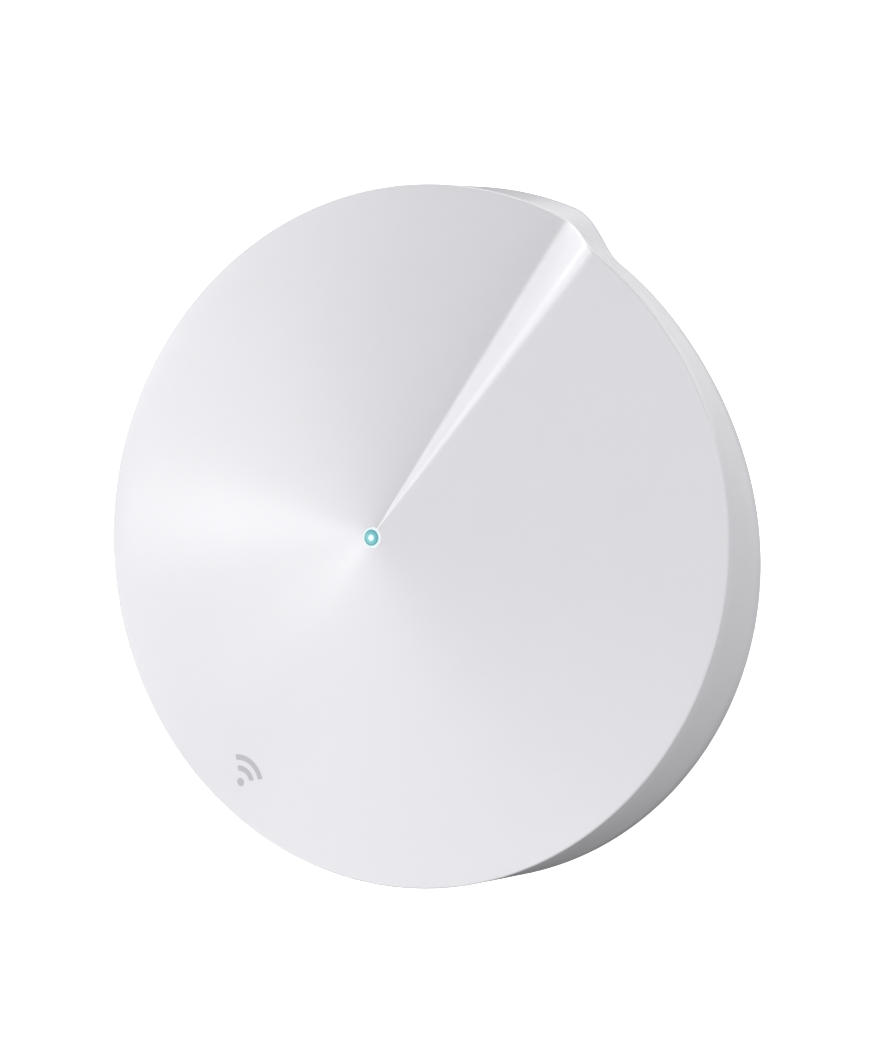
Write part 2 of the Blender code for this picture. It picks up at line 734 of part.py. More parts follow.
def build_cans_and_pads():
    wall = 0.35 * MM
    for name, (low, high) in CANS.items():
        x0, y0, x1, y1 = low[0] * MM, low[1] * MM, high[0] * MM, high[1] * MM
        top = PART_Z + CAN_HEIGHT
        can = put(name, block((x0, y0, PART_Z), (x1, y1, top), 0.25 * MM), "tin")
        inside = block((x0 + wall, y0 + wall, PART_Z - MM), (x1 - wall, y1 - wall, top - wall))
        combine(can, inside, "DIFFERENCE")
        inset = 3.0 * MM
        pad_low = (x0 + inset, y0 + inset, PAD_LOW_Z)
        pad_high = (x1 - inset, y1 - inset, PAD_LOW_Z + PAD_THICKNESS)
        put(name.replace("shield", "pad"), block(pad_low, pad_high, 0.1 * MM), "pad_blue")


# Packages on the board: name, centre, size and colour, in mm
PACKAGES = (
    ("processor_chip", (0.0, -18.0), (14.0, 14.0, 1.2), "chip_black"),
    ("memory_chip", (-9.5, -25.0), (5.0, 7.0, 1.0), "chip_black"),
    ("radio_chip_left", (-22.5, -5.5), (8.0, 8.0, 0.9), "chip_black"),
    ("radio_chip_right", (22.5, -5.5), (8.0, 8.0, 0.9), "chip_black"),
    ("power_chip", (-22.0, 22.0), (5.0, 5.0, 0.9), "chip_black"),
    ("lan_transformer", (5.5, 21.0), (17.0, 10.0, 4.4), "chip_black"),
    ("inductor_input", (-13.0, 24.0), (7.0, 7.0, 3.6), "ferrite"),
    ("inductor_core", (-13.0, 14.0), (6.0, 6.0, 3.2), "ferrite"),
    ("status_led", (0.0, 0.0), (3.2, 2.8, 1.0), "led_white"),
)
CAPACITORS = {"input": (-22.5, 30.0), "core": (-22.0, 13.0)}
SPREADER_LOW_Z = PAD_LOW_Z + PAD_THICKNESS + GAP


def build_packages():
    for name, (x, y), (dx, dy, dz), finish in PACKAGES:
        low = ((x - dx / 2) * MM, (y - dy / 2) * MM, PART_Z)
        high = ((x + dx / 2) * MM, (y + dy / 2) * MM, PART_Z + dz * MM)
        put(name, block(low, high, 0.12 * MM if dz < 2 else 0.5 * MM), finish)
    for name, (x, y) in CAPACITORS.items():
        profile = (
            (3.1, 0.0),
            (3.15, 0.8),
            (2.95, 1.3),
            (3.15, 1.8),
            (3.15, 5.2),
            (2.8, 5.6),
        )
        rows = [(radius * MM, PART_Z + z * MM) for radius, z in profile]
        put(f"capacitor_{name}", turned(rows, (x * MM, y * MM), 24), "aluminium")


def build_heat_spreader():
    """A flat plate over the pads, with a hole for the light pipe and a straight rear edge."""
    radius = 36.0 * MM
    rear_y = 6.0 * MM
    cut = math.asin(rear_y / radius)
    start, sweep = math.pi - cut, math.pi + 2 * cut
    segments = 56
    outline = [
        (radius * math.cos(start + sweep * i / segments), radius * math.sin(start + sweep * i / segments))
        for i in range(segments + 1)
    ]
    high_z = SPREADER_LOW_Z + 1.5 * MM
    spreader = put("heat_spreader", plate(outline, SPREADER_LOW_Z, high_z), "aluminium")
    combine(spreader, rod((0.0, 0.0), SPREADER_LOW_Z - MM, high_z + MM, 3.0 * MM, 24), "DIFFERENCE")


def build_light():
    """The light pipe over the LED, and the lens that closes the hole in the face."""
    put(
        "light_pipe",
        turned(
            (
                (1.9 * MM, PART_Z + 1.3 * MM),
                (1.2 * MM, PART_Z + 4.0 * MM),
                (1.2 * MM, 35.2 * MM),
            ),
            segments=20,
        ),
        "clear",
    )
    lens_radius = LIGHT_HOLE_RADIUS - GAP
    profile = (
        (lens_radius, 35.6 * MM),
        (lens_radius, 37.6 * MM),
        (lens_radius * 0.8, 37.9 * MM),
        (lens_radius * 0.4, 38.0 * MM),
    )
    put("light_lens", turned(profile, segments=28), "light_teal")


# ---------------------------------------------------------------- antennas

CARRIER_INNER = 48.7 * MM
CARRIER_OUTER = 52.4 * MM
CARRIER_LOW_Z = 11.2 * MM
CARRIER_TOP_Z = 12.8 * MM
CARRIER_GAP = 70.0  # degrees left open at the rear, for the sockets
ANTENNA_RADIUS = 50.6 * MM
ANTENNA_AZIMUTHS = {"right": 20.0, "left": 160.0, "front_left": 250.0, "front_right": 290.0}


def build_antenna_carrier():
    segments = 58
    start = math.radians(90.0 + CARRIER_GAP / 2)
    sweep = math.tau - math.radians(CARRIER_GAP)
    angles = [start + sweep * i / segments for i in range(segments + 1)]
    outline = [(CARRIER_OUTER * math.cos(a), CARRIER_OUTER * math.sin(a)) for a in angles]
    outline += [(CARRIER_INNER * math.cos(a), CARRIER_INNER * math.sin(a)) for a in reversed(angles)]
    put("antenna_carrier", plate(outline, CARRIER_LOW_Z, CARRIER_TOP_Z), "satin_white")


def build_antennas():
    """Stamped inverted-F antennas, each standing on the carrier with its flat side to the wall."""
    thickness = 0.4 * MM
    low = CARRIER_TOP_Z + GAP
    # The stamped outline, as distance along the plate and height over the carrier, in mm.
    stamped = (
        (-11.0, 0.0),
        (-7.5, 0.0),
        (-7.5, 4.8),
        (-5.6, 4.8),
        (-5.6, 0.0),
        (-3.6, 0.0),
        (-3.6, 4.8),
        (3.0, 4.8),
        (3.0, 3.2),
        (11.0, 3.2),
        (11.0, 8.0),
        (-11.0, 8.0),
    )
    for place, degrees in ANTENNA_AZIMUTHS.items():
        rows = [
            [(depth, along * MM, low + height * MM) for along, height in stamped]
            for depth in (ANTENNA_RADIUS - thickness / 2, ANTENNA_RADIUS + thickness / 2)
        ]
        bm = stacked(rows)
        turn = Matrix.Rotation(math.radians(degrees), 3, "Z")
        bmesh.ops.rotate(bm, verts=bm.verts, cent=(0, 0, 0), matrix=turn)
        put(f"antenna_{place}", bm, "tin")


# ---------------------------------------------------------------- assembly


def main():
    clear_scene()
    build_top_cover()
    build_base_case()
    build_feet()
    build_rating_label()
    build_screws()
    build_reset()
    build_port_frame()
    build_jacks()
    build_usb()
    build_main_board()
    build_cans_and_pads()
    build_packages()
    build_heat_spreader()
    build_light()
    build_antenna_carrier()
    build_antennas()


main()
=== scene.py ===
"""Looks of the mesh wireless router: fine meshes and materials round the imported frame.

The frame has +Z up and its origin on the table, under the middle of the rim. +Y is the rear, where
the sockets are. The face is a folded cone, ruled from the light in its middle to a rim whose height
changes round the case. Sizes that the CAD part also has are repeated here.
"""

import json
import math

import bmesh
import bpy
import numpy as np
from mathutils import Matrix, Vector


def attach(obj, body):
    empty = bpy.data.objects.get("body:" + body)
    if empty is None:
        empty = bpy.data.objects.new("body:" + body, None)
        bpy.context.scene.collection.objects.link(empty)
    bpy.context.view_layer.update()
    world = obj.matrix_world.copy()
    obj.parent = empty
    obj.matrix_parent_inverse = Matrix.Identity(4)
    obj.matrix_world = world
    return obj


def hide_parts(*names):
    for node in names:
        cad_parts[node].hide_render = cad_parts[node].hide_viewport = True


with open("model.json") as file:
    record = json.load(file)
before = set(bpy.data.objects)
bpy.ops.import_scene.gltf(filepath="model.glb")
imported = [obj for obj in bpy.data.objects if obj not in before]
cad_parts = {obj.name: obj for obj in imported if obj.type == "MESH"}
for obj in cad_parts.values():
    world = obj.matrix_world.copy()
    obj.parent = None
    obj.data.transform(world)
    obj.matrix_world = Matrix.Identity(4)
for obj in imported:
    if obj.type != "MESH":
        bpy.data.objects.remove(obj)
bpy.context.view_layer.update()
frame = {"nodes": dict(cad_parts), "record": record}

MM = 0.001
BODY = "router"
SMALLEST_RADIUS = 0.01 * MM
OVAL = 0.98  # corner radius of an oval's section, as a share of its half width
OVERLAP = 1.0 * MM  # how far a tool reaches past the face that it joins or cuts

# Cover, as in the CAD part
RIM_RADIUS = 60.0 * MM
APEX_Z = 37.8 * MM
HEM_Z = 14.4 * MM
COVER_THICKNESS = 2.0 * MM
EDGE_ROUND = 0.42 * MM
HEM_ROUND = 0.35 * MM
LIGHT_HOLE_RADIUS = 1.75 * MM
FOLD_AZIMUTH = math.radians(-36.0)
FOLD_FOOT = 350.0  # degrees, clockwise from the fold
FOLD_WIDTH = 9.2  # degrees, from the foot of the fold up to its crest
FOLD_SOFTNESS = 0.09  # how much of that width rounds the foot
FOLD_BEND = 0.12  # how much steeper the ramp gets on its way up
CREST_SOFTNESS = 3.2 * MM  # the crest is round where its two slopes' heights differ by less
FINE_FROM = 342.0  # degrees; the meshes have finer lines from here to FINE_TO, past the fold
FINE_TO = 6.0
HEM_STEP_START = 346.0  # degrees; the hem steps inwards under the fold
HEM_STEP_WIDTH = 12.0
# Stations round the rim: clockwise angle from the fold in degrees, rim height over the hem, and
# hem radius
RIM_STATIONS = (
    (0.0, 19.2 * MM, 57.5 * MM),
    (20.0, 16.7 * MM, 57.5 * MM),
    (54.0, 15.6 * MM, 60.0 * MM),
    (100.0, 16.3 * MM, 61.7 * MM),
    (144.0, 16.6 * MM, 61.3 * MM),
    (234.0, 15.3 * MM, 60.4 * MM),
    (300.0, 11.6 * MM, 60.0 * MM),
    (350.0, 9.3 * MM, 61.9 * MM),
)

# Gaps and the base tray
GAP = 0.3 * MM
BASE_BOTTOM_Z = 1.2 * MM
FLOOR_TOP_Z = 3.2 * MM
TRAY_TOP_Z = 14.0 * MM
TRAY_INSET = 0.8 * MM
TRAY_TAPER = 0.53  # inset per unit of depth
TRAY_THICKNESS = 2.0 * MM
TRAY_FILLET = 2.2 * MM
LIP_INSET = 3.2 * MM
LIP_THICKNESS = 1.2 * MM
LIP_TOP_Z = 16.0 * MM
LIP_ROUND = 0.2 * MM
TRAY_EDGE_ROUND = 0.4 * MM
LABEL_RADIUS = 20.0 * MM
LABEL_LOW_Z = 1.0 * MM
LABEL_TOP_Z = 1.4 * MM
VENT_WIDTH = 1.6 * MM
VENT_INNER_RADIUS = 24.5 * MM
VENT_OUTER_RADIUS = 36.5 * MM
VENT_COUNT = 40
VENT_CLEARANCE = 5.6 * MM  # from the middle of a boss or of the button

# Feet, case screws and cover posts share one place
POST_RADIUS = 42.5 * MM
POST_AZIMUTHS = {"rear_right": 45, "rear_left": 135, "front_left": 225, "front_right": 315}
POST_LOW_Z = 8.3 * MM
POST_WIDTH = 3.0 * MM  # its own radius, without the flare
POST_CHAMFER = 0.3 * MM
POST_FLARE = 1.0 * MM
POST_FLARE_DEPTH = 2.0 * MM
PILOT_DEPTH = 8.0 * MM
FOOT_BOSS_RADIUS = 4.0 * MM
BOARD_BOSS_RADIUS = 3.0 * MM
RECESS_GAP = 0.15 * MM
SCREW_LEDGE_Z = 5.0 * MM
FOOT_RADIUS = 5.0 * MM
FOOT_TOP_Z = 1.9 * MM
SCREW_HEAD_RADIUS = 2.4 * MM
SCREW_SHANK_RADIUS = 1.25 * MM

# Board and what stands on it
BOARD_LOW_Z = 8.0 * MM
BOARD_TOP_Z = 9.6 * MM
PART_Z = BOARD_TOP_Z + GAP
BOARD_SCREW_RADIUS = 1.0 * MM
BOARD_SCREWS = {
    "left": (-33.0 * MM, 8.0 * MM),
    "right": (33.0 * MM, 8.0 * MM),
    "front_left": (-20.0 * MM, -27.0 * MM),
    "front_right": (20.0 * MM, -27.0 * MM),
}

# Sockets in the rear wall
BAY_HALF = 25.0 * MM
BAY_LOW_Z = 8.0 * MM
BAY_HIGH_Z = 25.2 * MM
BAY_WALL = 1.2 * MM
BAY_CORNER = 1.6 * MM
OUTSIDE_Y = 70.0 * MM  # behind the whole case
COVER_CUT_Y = 48.0 * MM  # the bay's cuts in the cover and in the tray start here
TRAY_CUT_Y = 46.0 * MM
BAY_CUT_DROP = 6.0 * MM  # how far they run past the hem and past the tray's lip
BAY_CUT_RISE = 8.0 * MM
REAR_HEM_RADIUS = 60.4 * MM
PANEL_EDGE = 0.18 * MM
WINDOW_FROM_Y = 45.0 * MM
WINDOW_TO_Y = 55.0 * MM
WINDOW_GAP = 0.15 * MM
USB_WINDOW_GAP = 0.2 * MM
PANEL_FACE_Y = 51.5 * MM
PANEL_THICKNESS = 1.6 * MM
SOCKET_FACE_Y = 51.2 * MM
JACK_SIZE = Vector((15.9, 21.0, 13.4)) * MM
JACK_X = {"left": -3.2 * MM, "right": 14.2 * MM}
JACK_WALL = 0.4 * MM
PLUG_WIDTH = 11.8 * MM
PLUG_HEIGHT = 6.8 * MM
PLUG_DEPTH = 13.0 * MM
PLUG_LIFT = 3.6 * MM  # the mouth's lower edge over the jack's
INSERT_GAP = 0.12 * MM
LATCH_WIDTH = 5.0 * MM
LATCH_HEIGHT = 2.2 * MM
LATCH_SHOULDER = 2.0 * MM
CONTACT_COUNT = 8
CONTACT_PITCH = 1.02 * MM
CONTACT_INSET = 2.4 * MM  # how far behind the mouth the contacts start
CONTACT_BAR_HALF = 4.4 * MM
USB_X = -18.0 * MM
USB_SIZE = Vector((9.1, 7.4, 3.3)) * MM
USB_WALL = 0.3 * MM
USB_PADS = 12
USB_PAD_PITCH = 0.5 * MM

# Reset button in the floor
BUTTON_AT = (24.0 * MM, -12.0 * MM)
BUTTON_RADIUS = 2.5 * MM

# The printed mark on the face: a plain signal sign, its top towards the light
MARK_RADIUS = 51.3 * MM
MARK_AZIMUTH = math.radians(149.0)
MARK_DOT_V = -2.5 * MM  # the dot's middle, inwards from there
MARK_DOT_RADIUS = 0.75 * MM
MARK_ARC_RADII = (2.5 * MM, 4.5 * MM)
MARK_ARC_SPREAD = math.radians(44.0)  # to each side
MARK_HALF_STROKE = 0.5 * MM
MARK_FOOT = -0.05 * MM  # its underside and its top, over the face
MARK_TOP = 0.02 * MM

# Soft boxes round the part and under its translucent table: name, azimuth and elevation in degrees,
# width in m, power in W
STAGE_RADIUS = 3.0
LIGHT_RANGE = 0.8
LIGHT_AIM = Vector((0.0, 0.0, 0.03))
FLOOR_GLOW = 0.9
WORLD_GLOW = 0.02
SOFT_BOXES = (
    ("under_right", 0, -25, 0.60, 3.4),
    ("under_rear_right", 45, -25, 0.60, 2.2),
    ("under_front_right", 315, -25, 0.60, 2.3),
    ("under_steep", 0, -60, 0.50, 0.36),
    ("under", 0, -90, 0.50, 0.29),
    ("low_front", 270, 10, 0.70, 2.4),
    ("low_rear_right", 60, 10, 0.70, 3.3),
    ("low_rear_left", 120, 10, 0.70, 1.8),
    ("front_left", 240, 30, 0.50, 1.3),
    ("rear_right", 60, 30, 0.50, 0.8),
    ("rear_left", 150, 45, 0.60, 2.0),
    ("rear", 90, 45, 0.60, 0.7),
    ("high_front_right", 300, 68, 0.30, 1.3),
    ("high_left", 180, 68, 0.30, 0.25),
    ("overhead", 0, 90, 0.50, 0.24),
    ("beam_low", 90, 40, 0.12, 0.29),
    ("beam", 105, 50, 0.12, 0.46),
)

# Camera: where it looks, from which side, and how it is turned
AIM = Vector((1.93, -8.07, 30.0)) * MM
CAMERA_RANGE = 336.0 * MM
CAMERA_AZIMUTH = math.radians(-81.66)
CAMERA_ELEVATION = math.radians(61.22)
CAMERA_ROLL = math.radians(94.18)
LENS = 68.1  # mm, on a 36 mm long side


# ---------------------------------------------------------------- the rim's shape


def natural_spline(knots, values, at):
    """A smooth curve through the knots, with no bend at its two ends."""
    knots, values = np.array(knots), np.array(values)
    step = np.diff(knots)
    slope = np.diff(values) / step
    count = len(knots)
    system = np.eye(count)
    right = np.zeros(count)
    for i in range(1, count - 1):
        system[i, i - 1] = step[i - 1]
        system[i, i] = 2.0 * (step[i - 1] + step[i])
        system[i, i + 1] = step[i]
        right[i] = 6.0 * (slope[i] - slope[i - 1])
    bend = np.linalg.solve(system, right)
    i = int(np.clip(np.searchsorted(knots, at) - 1, 0, count - 2))
    h, a, b = step[i], knots[i + 1] - at, at - knots[i]
    cubic = (bend[i] * a**3 + bend[i + 1] * b**3) / (6.0 * h)
    from_left = (values[i] / h - bend[i] * h / 6.0) * a
    from_right = (values[i + 1] / h - bend[i + 1] * h / 6.0) * b
    return float(cubic + from_left + from_right)


def rim_share(angle):
    """How far up the fold's ramp an angle is: 0 before its rounded foot, 1 at its crest."""
    past = (angle - FOLD_FOOT) / FOLD_WIDTH
    straight = (past + math.hypot(past, FOLD_SOFTNESS)) / (1.0 + math.hypot(1.0, FOLD_SOFTNESS))
    return straight + FOLD_BEND * max(0.0, past) * (past - 1.0)


def hem_share(angle):
    """How far the hem has stepped inwards at an angle, from 0 to 1, with both ends rounded."""
    past = min(1.0, max(0.0, (angle - HEM_STEP_START) / HEM_STEP_WIDTH))
    return past * past * (3.0 - 2.0 * past)


def round_the_rim(angle):
    """The rim's height over the hem, and the hem's radius, at a clockwise angle from the fold in
    degrees. The ramp and the slope beyond it meet in a rounded crest."""
    knots, heights, radii = zip(*RIM_STATIONS)
    turn = (angle + 180.0) % 360.0 - 180.0
    level = natural_spline(knots, heights, knots[-1] if turn > FOLD_FOOT - 360.0 else angle)
    rising = level + rim_share(360.0 + turn) * (heights[0] - level)
    fall = natural_spline(knots, heights, 1.0) - heights[0]
    falling = natural_spline(knots, heights, max(0.0, turn)) + fall * min(0.0, turn)
    close = max(0.0, CREST_SOFTNESS - abs(rising - falling))
    height = min(rising, falling) - close**2 / (4.0 * CREST_SOFTNESS)
    radius = natural_spline(knots, radii, min(angle, knots[-1]))
    radius += hem_share(angle) * (radii[0] - radius)
    return height, radius


def rim_lines(step, fine_step):
    """(azimuth, rim z, hem radius) for each radial line of a mesh, going clockwise."""
    coarse, fine = FINE_FROM - FINE_TO, 360.0 - FINE_FROM + FINE_TO
    count, fine_count = round(coarse / step), round(fine / fine_step)
    angles = [FINE_TO + coarse * i / count for i in range(count)]
    angles += [FINE_FROM + fine * i / fine_count for i in range(fine_count)]
    lines = []
    for angle in angles:
        height, hem_radius = round_the_rim(angle % 360.0)
        lines.append((FOLD_AZIMUTH - math.radians(angle), HEM_Z + height, hem_radius))
    return lines


def face_z(radius, rim_z):
    return APEX_Z + (rim_z - APEX_Z) * radius / RIM_RADIUS


# ---------------------------------------------------------------- mesh helpers


def stacked(rings, endless=False):
    """A skin over rings of equal length: capped at both ends, or joined back to the first ring."""
    bm = bmesh.new()
    loops = [[bm.verts.new(point) for point in ring] for ring in rings]
    pairs = list(zip(loops, loops[1:]))
    if endless:
        pairs.append((loops[-1], loops[0]))
    for lower, upper in pairs:
        for i in range(len(lower)):
            j = (i + 1) % len(lower)
            bm.faces.new((lower[i], lower[j], upper[j], upper[i]))
    if not endless:
        bm.faces.new(loops[0])
        bm.faces.new(loops[-1])
    return bm


def rounded_corner(before, corner, after, radius, steps):
    """Points of an arc that rounds the corner between two straight lines, in a flat section."""
    corner, before, after = Vector(corner), Vector(before), Vector(after)
    to_before = (before - corner).normalized()
    to_after = (after - corner).normalized()
    half = to_before.angle(to_after) / 2
    reach = radius / math.tan(half)
    start, end = corner + to_before * reach, corner + to_after * reach
    centre = corner + (to_before + to_after).normalized() * radius / math.sin(half)
    a, b = start - centre, end - centre
    sweep = a.angle(b)
    turn = 1.0 if a.cross(b) > 0 else -1.0
    return [centre + Matrix.Rotation(turn * sweep * i / steps, 2) @ a for i in range(steps + 1)]


def rounded_line(points, radii, steps=4):
    """An open line with each inner point rounded by its own radius, where that isn't 0."""
    line = [Vector(points[0])]
    for i in range(1, len(points) - 1):
        if radii[i - 1]:
            line += rounded_corner(points[i - 1], points[i], points[i + 1], radii[i - 1], steps)
        else:
            line.append(Vector(points[i]))
    return line + [Vector(points[-1])]


def turned(profile, centre=(0.0, 0.0), segments=48):
    """A closed solid turned round an upright axis, from (radius, z) pairs that start and end off
    it."""
    turns = [math.tau * i / segments for i in range(segments)]
    rings = []
    for radius, z in profile:
        rings.append(
            [(centre[0] + radius * math.cos(a), centre[1] + radius * math.sin(a), z) for a in turns]
        )
    return stacked(rings)


def rounded_outline(half_width, half_height, radius, steps=6):
    """A rectangle with round corners, as (x, y) pairs round its middle."""
    points = []
    for corner_x, corner_y, start in ((1, 1, 0), (-1, 1, 90), (-1, -1, 180), (1, -1, 270)):
        for i in range(steps + 1):
            angle = math.radians(start + 90.0 * i / steps)
            x = corner_x * (half_width - radius) + radius * math.cos(angle)
            y = corner_y * (half_height - radius) + radius * math.sin(angle)
            points.append((x, y))
    return points


def rounded_bar(low, high, radius, axis="y", edge=0.0):
    """A bar between two corners that runs along an axis: its section has round corners of the given
    radius, and edge chamfers its two ends."""
    low, high = Vector(low), Vector(high)
    middle, half = (low + high) / 2, (high - low) / 2
    run, across = {"x": (0, (1, 2)), "y": (1, (0, 2)), "z": (2, (0, 1))}[axis]
    rings = []
    stations = [(edge - half[run], 0.0), (half[run] - edge, 0.0)]
    if edge:
        stations = [(-half[run], edge), *stations, (half[run], edge)]
    for at, shrink in stations:
        ring = []
        half_u, half_v = half[across[0]] - shrink, half[across[1]] - shrink
        for u, v in rounded_outline(half_u, half_v, max(radius - shrink, SMALLEST_RADIUS)):
            point = middle.copy()
            point[run] += at
            point[across[0]] += u
            point[across[1]] += v
            ring.append(tuple(point))
        rings.append(ring)
    return stacked(rings)


def absorb(bm, other):
    """Adds the other bmesh's shapes to the first one."""
    mesh = bpy.data.meshes.new("shape")
    other.to_mesh(mesh)
    other.free()
    bm.from_mesh(mesh)
    bpy.data.meshes.remove(mesh)


def gathered(shapes):
    """One bmesh of several shapes that don't touch."""
    bm = bmesh.new()
    for shape in shapes:
        absorb(bm, shape)
    return bm


def spun(bm, degrees):
    """The bmesh turned round the upright axis through the origin."""
    turn = Matrix.Rotation(math.radians(degrees), 3, "Z")
    bmesh.ops.rotate(bm, verts=bm.verts, cent=(0, 0, 0), matrix=turn)
    return bm


def polar(radius, degrees):
    angle = math.radians(degrees)
    return (radius * math.cos(angle), radius * math.sin(angle))


def piece(name, bm, finish, sharp=32.0):
    """An object of the bmesh, shaded smooth up to the given angle."""
    bmesh.ops.recalc_face_normals(bm, faces=bm.faces)
    mesh = bpy.data.meshes.new(name)
    bm.to_mesh(mesh)
    bm.free()
    mesh.shade_smooth()
    mesh.set_sharp_from_angle(angle=math.radians(sharp))
    if finish:
        mesh.materials.append(finish)
    obj = bpy.data.objects.new(name, mesh)
    bpy.context.scene.collection.objects.link(obj)
    return obj


def combine(obj, bm, operation, sharp=32.0):
    """Joins the bmesh to the object or cuts it away, then drops the helper."""
    tool = piece(obj.name + "_tool", bm, None)
    modifier = obj.modifiers.new("combine", "BOOLEAN")
    modifier.operation = operation
    modifier.solver = "EXACT"
    modifier.object = tool
    graph = bpy.context.evaluated_depsgraph_get()
    result = bpy.data.meshes.new_from_object(obj.evaluated_get(graph))
    obj.modifiers.remove(modifier)
    obj.data = result
    bpy.data.objects.remove(tool, do_unlink=True)
    result.shade_smooth()
    result.set_sharp_from_angle(angle=math.radians(sharp))


def soften(obj, width, segments=2, angle=35.0):
    """Rounds the object's sharp edges."""
    bevel = obj.modifiers.new("soften", "BEVEL")
    bevel.width = width
    bevel.segments = segments
    bevel.limit_method = "ANGLE"
    bevel.angle_limit = math.radians(angle)
    bevel.use_clamp_overlap = True
    bevel.harden_normals = True


def show(obj, slot, *nodes, body=BODY):
    """Puts a piece on its body, instead of the CAD nodes. The slot argument is not used."""
    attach(obj, body)
    if nodes:
        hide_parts(*nodes)
    return obj


# ---------------------------------------------------------------- materials

NOISE_LOW, NOISE_HIGH = 0.3, 0.7  # nearly all of a noise texture's values lie between these
WAVE_PERIOD = 0.314  # the width of one band of a wave texture at scale 1
TRACK_PITCH = 1.728 * MM
TRACK_FIELD = 7.0 * MM


def surface(
    name,
    colour,
    roughness,
    metallic=0.0,
    size=3.0,
    shade=0.02,
    spread=0.04,
    grain=0.2,
    relief=0.003,
    stretch=(1.0, 1.0, 1.0),
):
    """A material whose colour and roughness are slightly uneven at one size, in mm, over a fine
    relief of another. shade and spread say how uneven. grain is the relief's width and relief its
    height, in mm. stretch draws both out along an axis where it is below 1."""
    made = bpy.data.materials.new(name)
    made.use_nodes = True
    nodes, links = made.node_tree.nodes, made.node_tree.links
    shader = nodes["Principled BSDF"]
    shader.inputs["Metallic"].default_value = metallic
    place = nodes.new("ShaderNodeTexCoord")
    drawn = nodes.new("ShaderNodeMapping")
    drawn.inputs["Scale"].default_value = stretch
    links.new(place.outputs["Object"], drawn.inputs["Vector"])
    mottle = nodes.new("ShaderNodeTexNoise")
    mottle.inputs["Scale"].default_value = 1.0 / (size * MM)
    mottle.inputs["Detail"].default_value = 3.0
    links.new(drawn.outputs["Vector"], mottle.inputs["Vector"])
    tint = nodes.new("ShaderNodeValToRGB")
    tint.name = "tint"
    ends = ((NOISE_LOW, 1.0 - shade), (NOISE_HIGH, 1.0 + shade))
    for element, (position, factor) in zip(tint.color_ramp.elements, ends):
        element.position = position
        element.color = (*(min(1.0, channel * factor) for channel in colour), 1.0)
    links.new(mottle.outputs["Fac"], tint.inputs["Fac"])
    links.new(tint.outputs["Color"], shader.inputs["Base Color"])
    gloss = nodes.new("ShaderNodeMapRange")
    gloss.inputs["From Min"].default_value = NOISE_LOW
    gloss.inputs["From Max"].default_value = NOISE_HIGH
    gloss.inputs["To Min"].default_value = roughness - spread
    gloss.inputs["To Max"].default_value = roughness + spread
    links.new(mottle.outputs["Fac"], gloss.inputs["Value"])
    links.new(gloss.outputs["Result"], shader.inputs["Roughness"])
    fine = nodes.new("ShaderNodeTexNoise")
    fine.inputs["Scale"].default_value = 1.0 / (grain * MM)
    fine.inputs["Detail"].default_value = 2.0
    links.new(drawn.outputs["Vector"], fine.inputs["Vector"])
    bump = nodes.new("ShaderNodeBump")
    bump.name = "relief"
    bump.inputs["Distance"].default_value = relief * MM
    links.new(fine.outputs["Fac"], bump.inputs["Height"])
    links.new(bump.outputs["Normal"], shader.inputs["Normal"])
    return made


def distance_from_axis(made):
    """The socket that gives a point's distance from the upright axis, in metres."""
    nodes, links = made.node_tree.nodes, made.node_tree.links
    place = nodes.new("ShaderNodeTexCoord")
    flat = nodes.new("ShaderNodeVectorMath")
    flat.operation = "MULTIPLY"
    flat.inputs[1].default_value = (1.0, 1.0, 0.0)
    length = nodes.new("ShaderNodeVectorMath")
    length.operation = "LENGTH"
    links.new(place.outputs["Object"], flat.inputs[0])
    links.new(flat.outputs["Vector"], length.inputs[0])
    return length.outputs["Value"]


def ring_ramp(made, reach, stops, smooth=True):
    """A colour that changes with the distance from the upright axis. stops holds pairs of a share
    of the reach and a colour."""
    nodes, links = made.node_tree.nodes, made.node_tree.links
    scaled = nodes.new("ShaderNodeMapRange")
    scaled.inputs["From Max"].default_value = reach
    links.new(distance_from_axis(made), scaled.inputs["Value"])
    ramp = nodes.new("ShaderNodeValToRGB")
    ramp.color_ramp.interpolation = "EASE" if smooth else "CONSTANT"
    while len(ramp.color_ramp.elements) < len(stops):
        ramp.color_ramp.elements.new(0.5)
    for element, (position, colour) in zip(ramp.color_ramp.elements, stops):
        element.position = position
        element.color = (*colour, 1.0)
    links.new(scaled.outputs["Result"], ramp.inputs["Fac"])
    return ramp.outputs["Color"]


def light_teal():
    """The lens, lit from behind: a teal ring and a pale edge that glow, round a white core that is
    a painted highlight of the dome.
    """
    made = surface("lit_lens", (0.02, 0.05, 0.055), 0.20, size=0.6, grain=0.3, relief=0.001)
    shader = made.node_tree.nodes["Principled BSDF"]
    stops = (
        # painted highlight: the white core stands in for the dome's highlight; the teal ring and
        # pale edge are the light's own glow
        (0.09, (0.95, 1.00, 1.00)),
        (0.26, (0.66, 0.93, 0.98)),
        (0.39, (0.18, 0.50, 0.55)),
        (0.60, (0.15, 0.46, 0.49)),
        (0.74, (0.07, 0.27, 0.29)),
        (0.84, (0.72, 0.88, 0.91)),
        (0.98, (0.80, 0.90, 0.93)),
    )
    glow_and_painted_highlight = ring_ramp(made, 1.7 * MM, stops)
    made.node_tree.links.new(glow_and_painted_highlight, shader.inputs["Emission Color"])
    shader.inputs["Emission Strength"].default_value = 1.0
    return made


def label_grey():
    """A blank label: plain grey film with one fine line round it."""
    film, line = (0.62, 0.62, 0.65), (0.25, 0.25, 0.27)
    made = surface("blank_label", film, 0.45, size=1.5, grain=0.12, relief=0.002)
    shader = made.node_tree.nodes["Principled BSDF"]
    stops = ((0.0, film), (0.925, line), (0.94, film))
    colour = ring_ramp(made, LABEL_RADIUS, stops, smooth=False)
    made.node_tree.links.new(colour, shader.inputs["Base Color"])
    return made


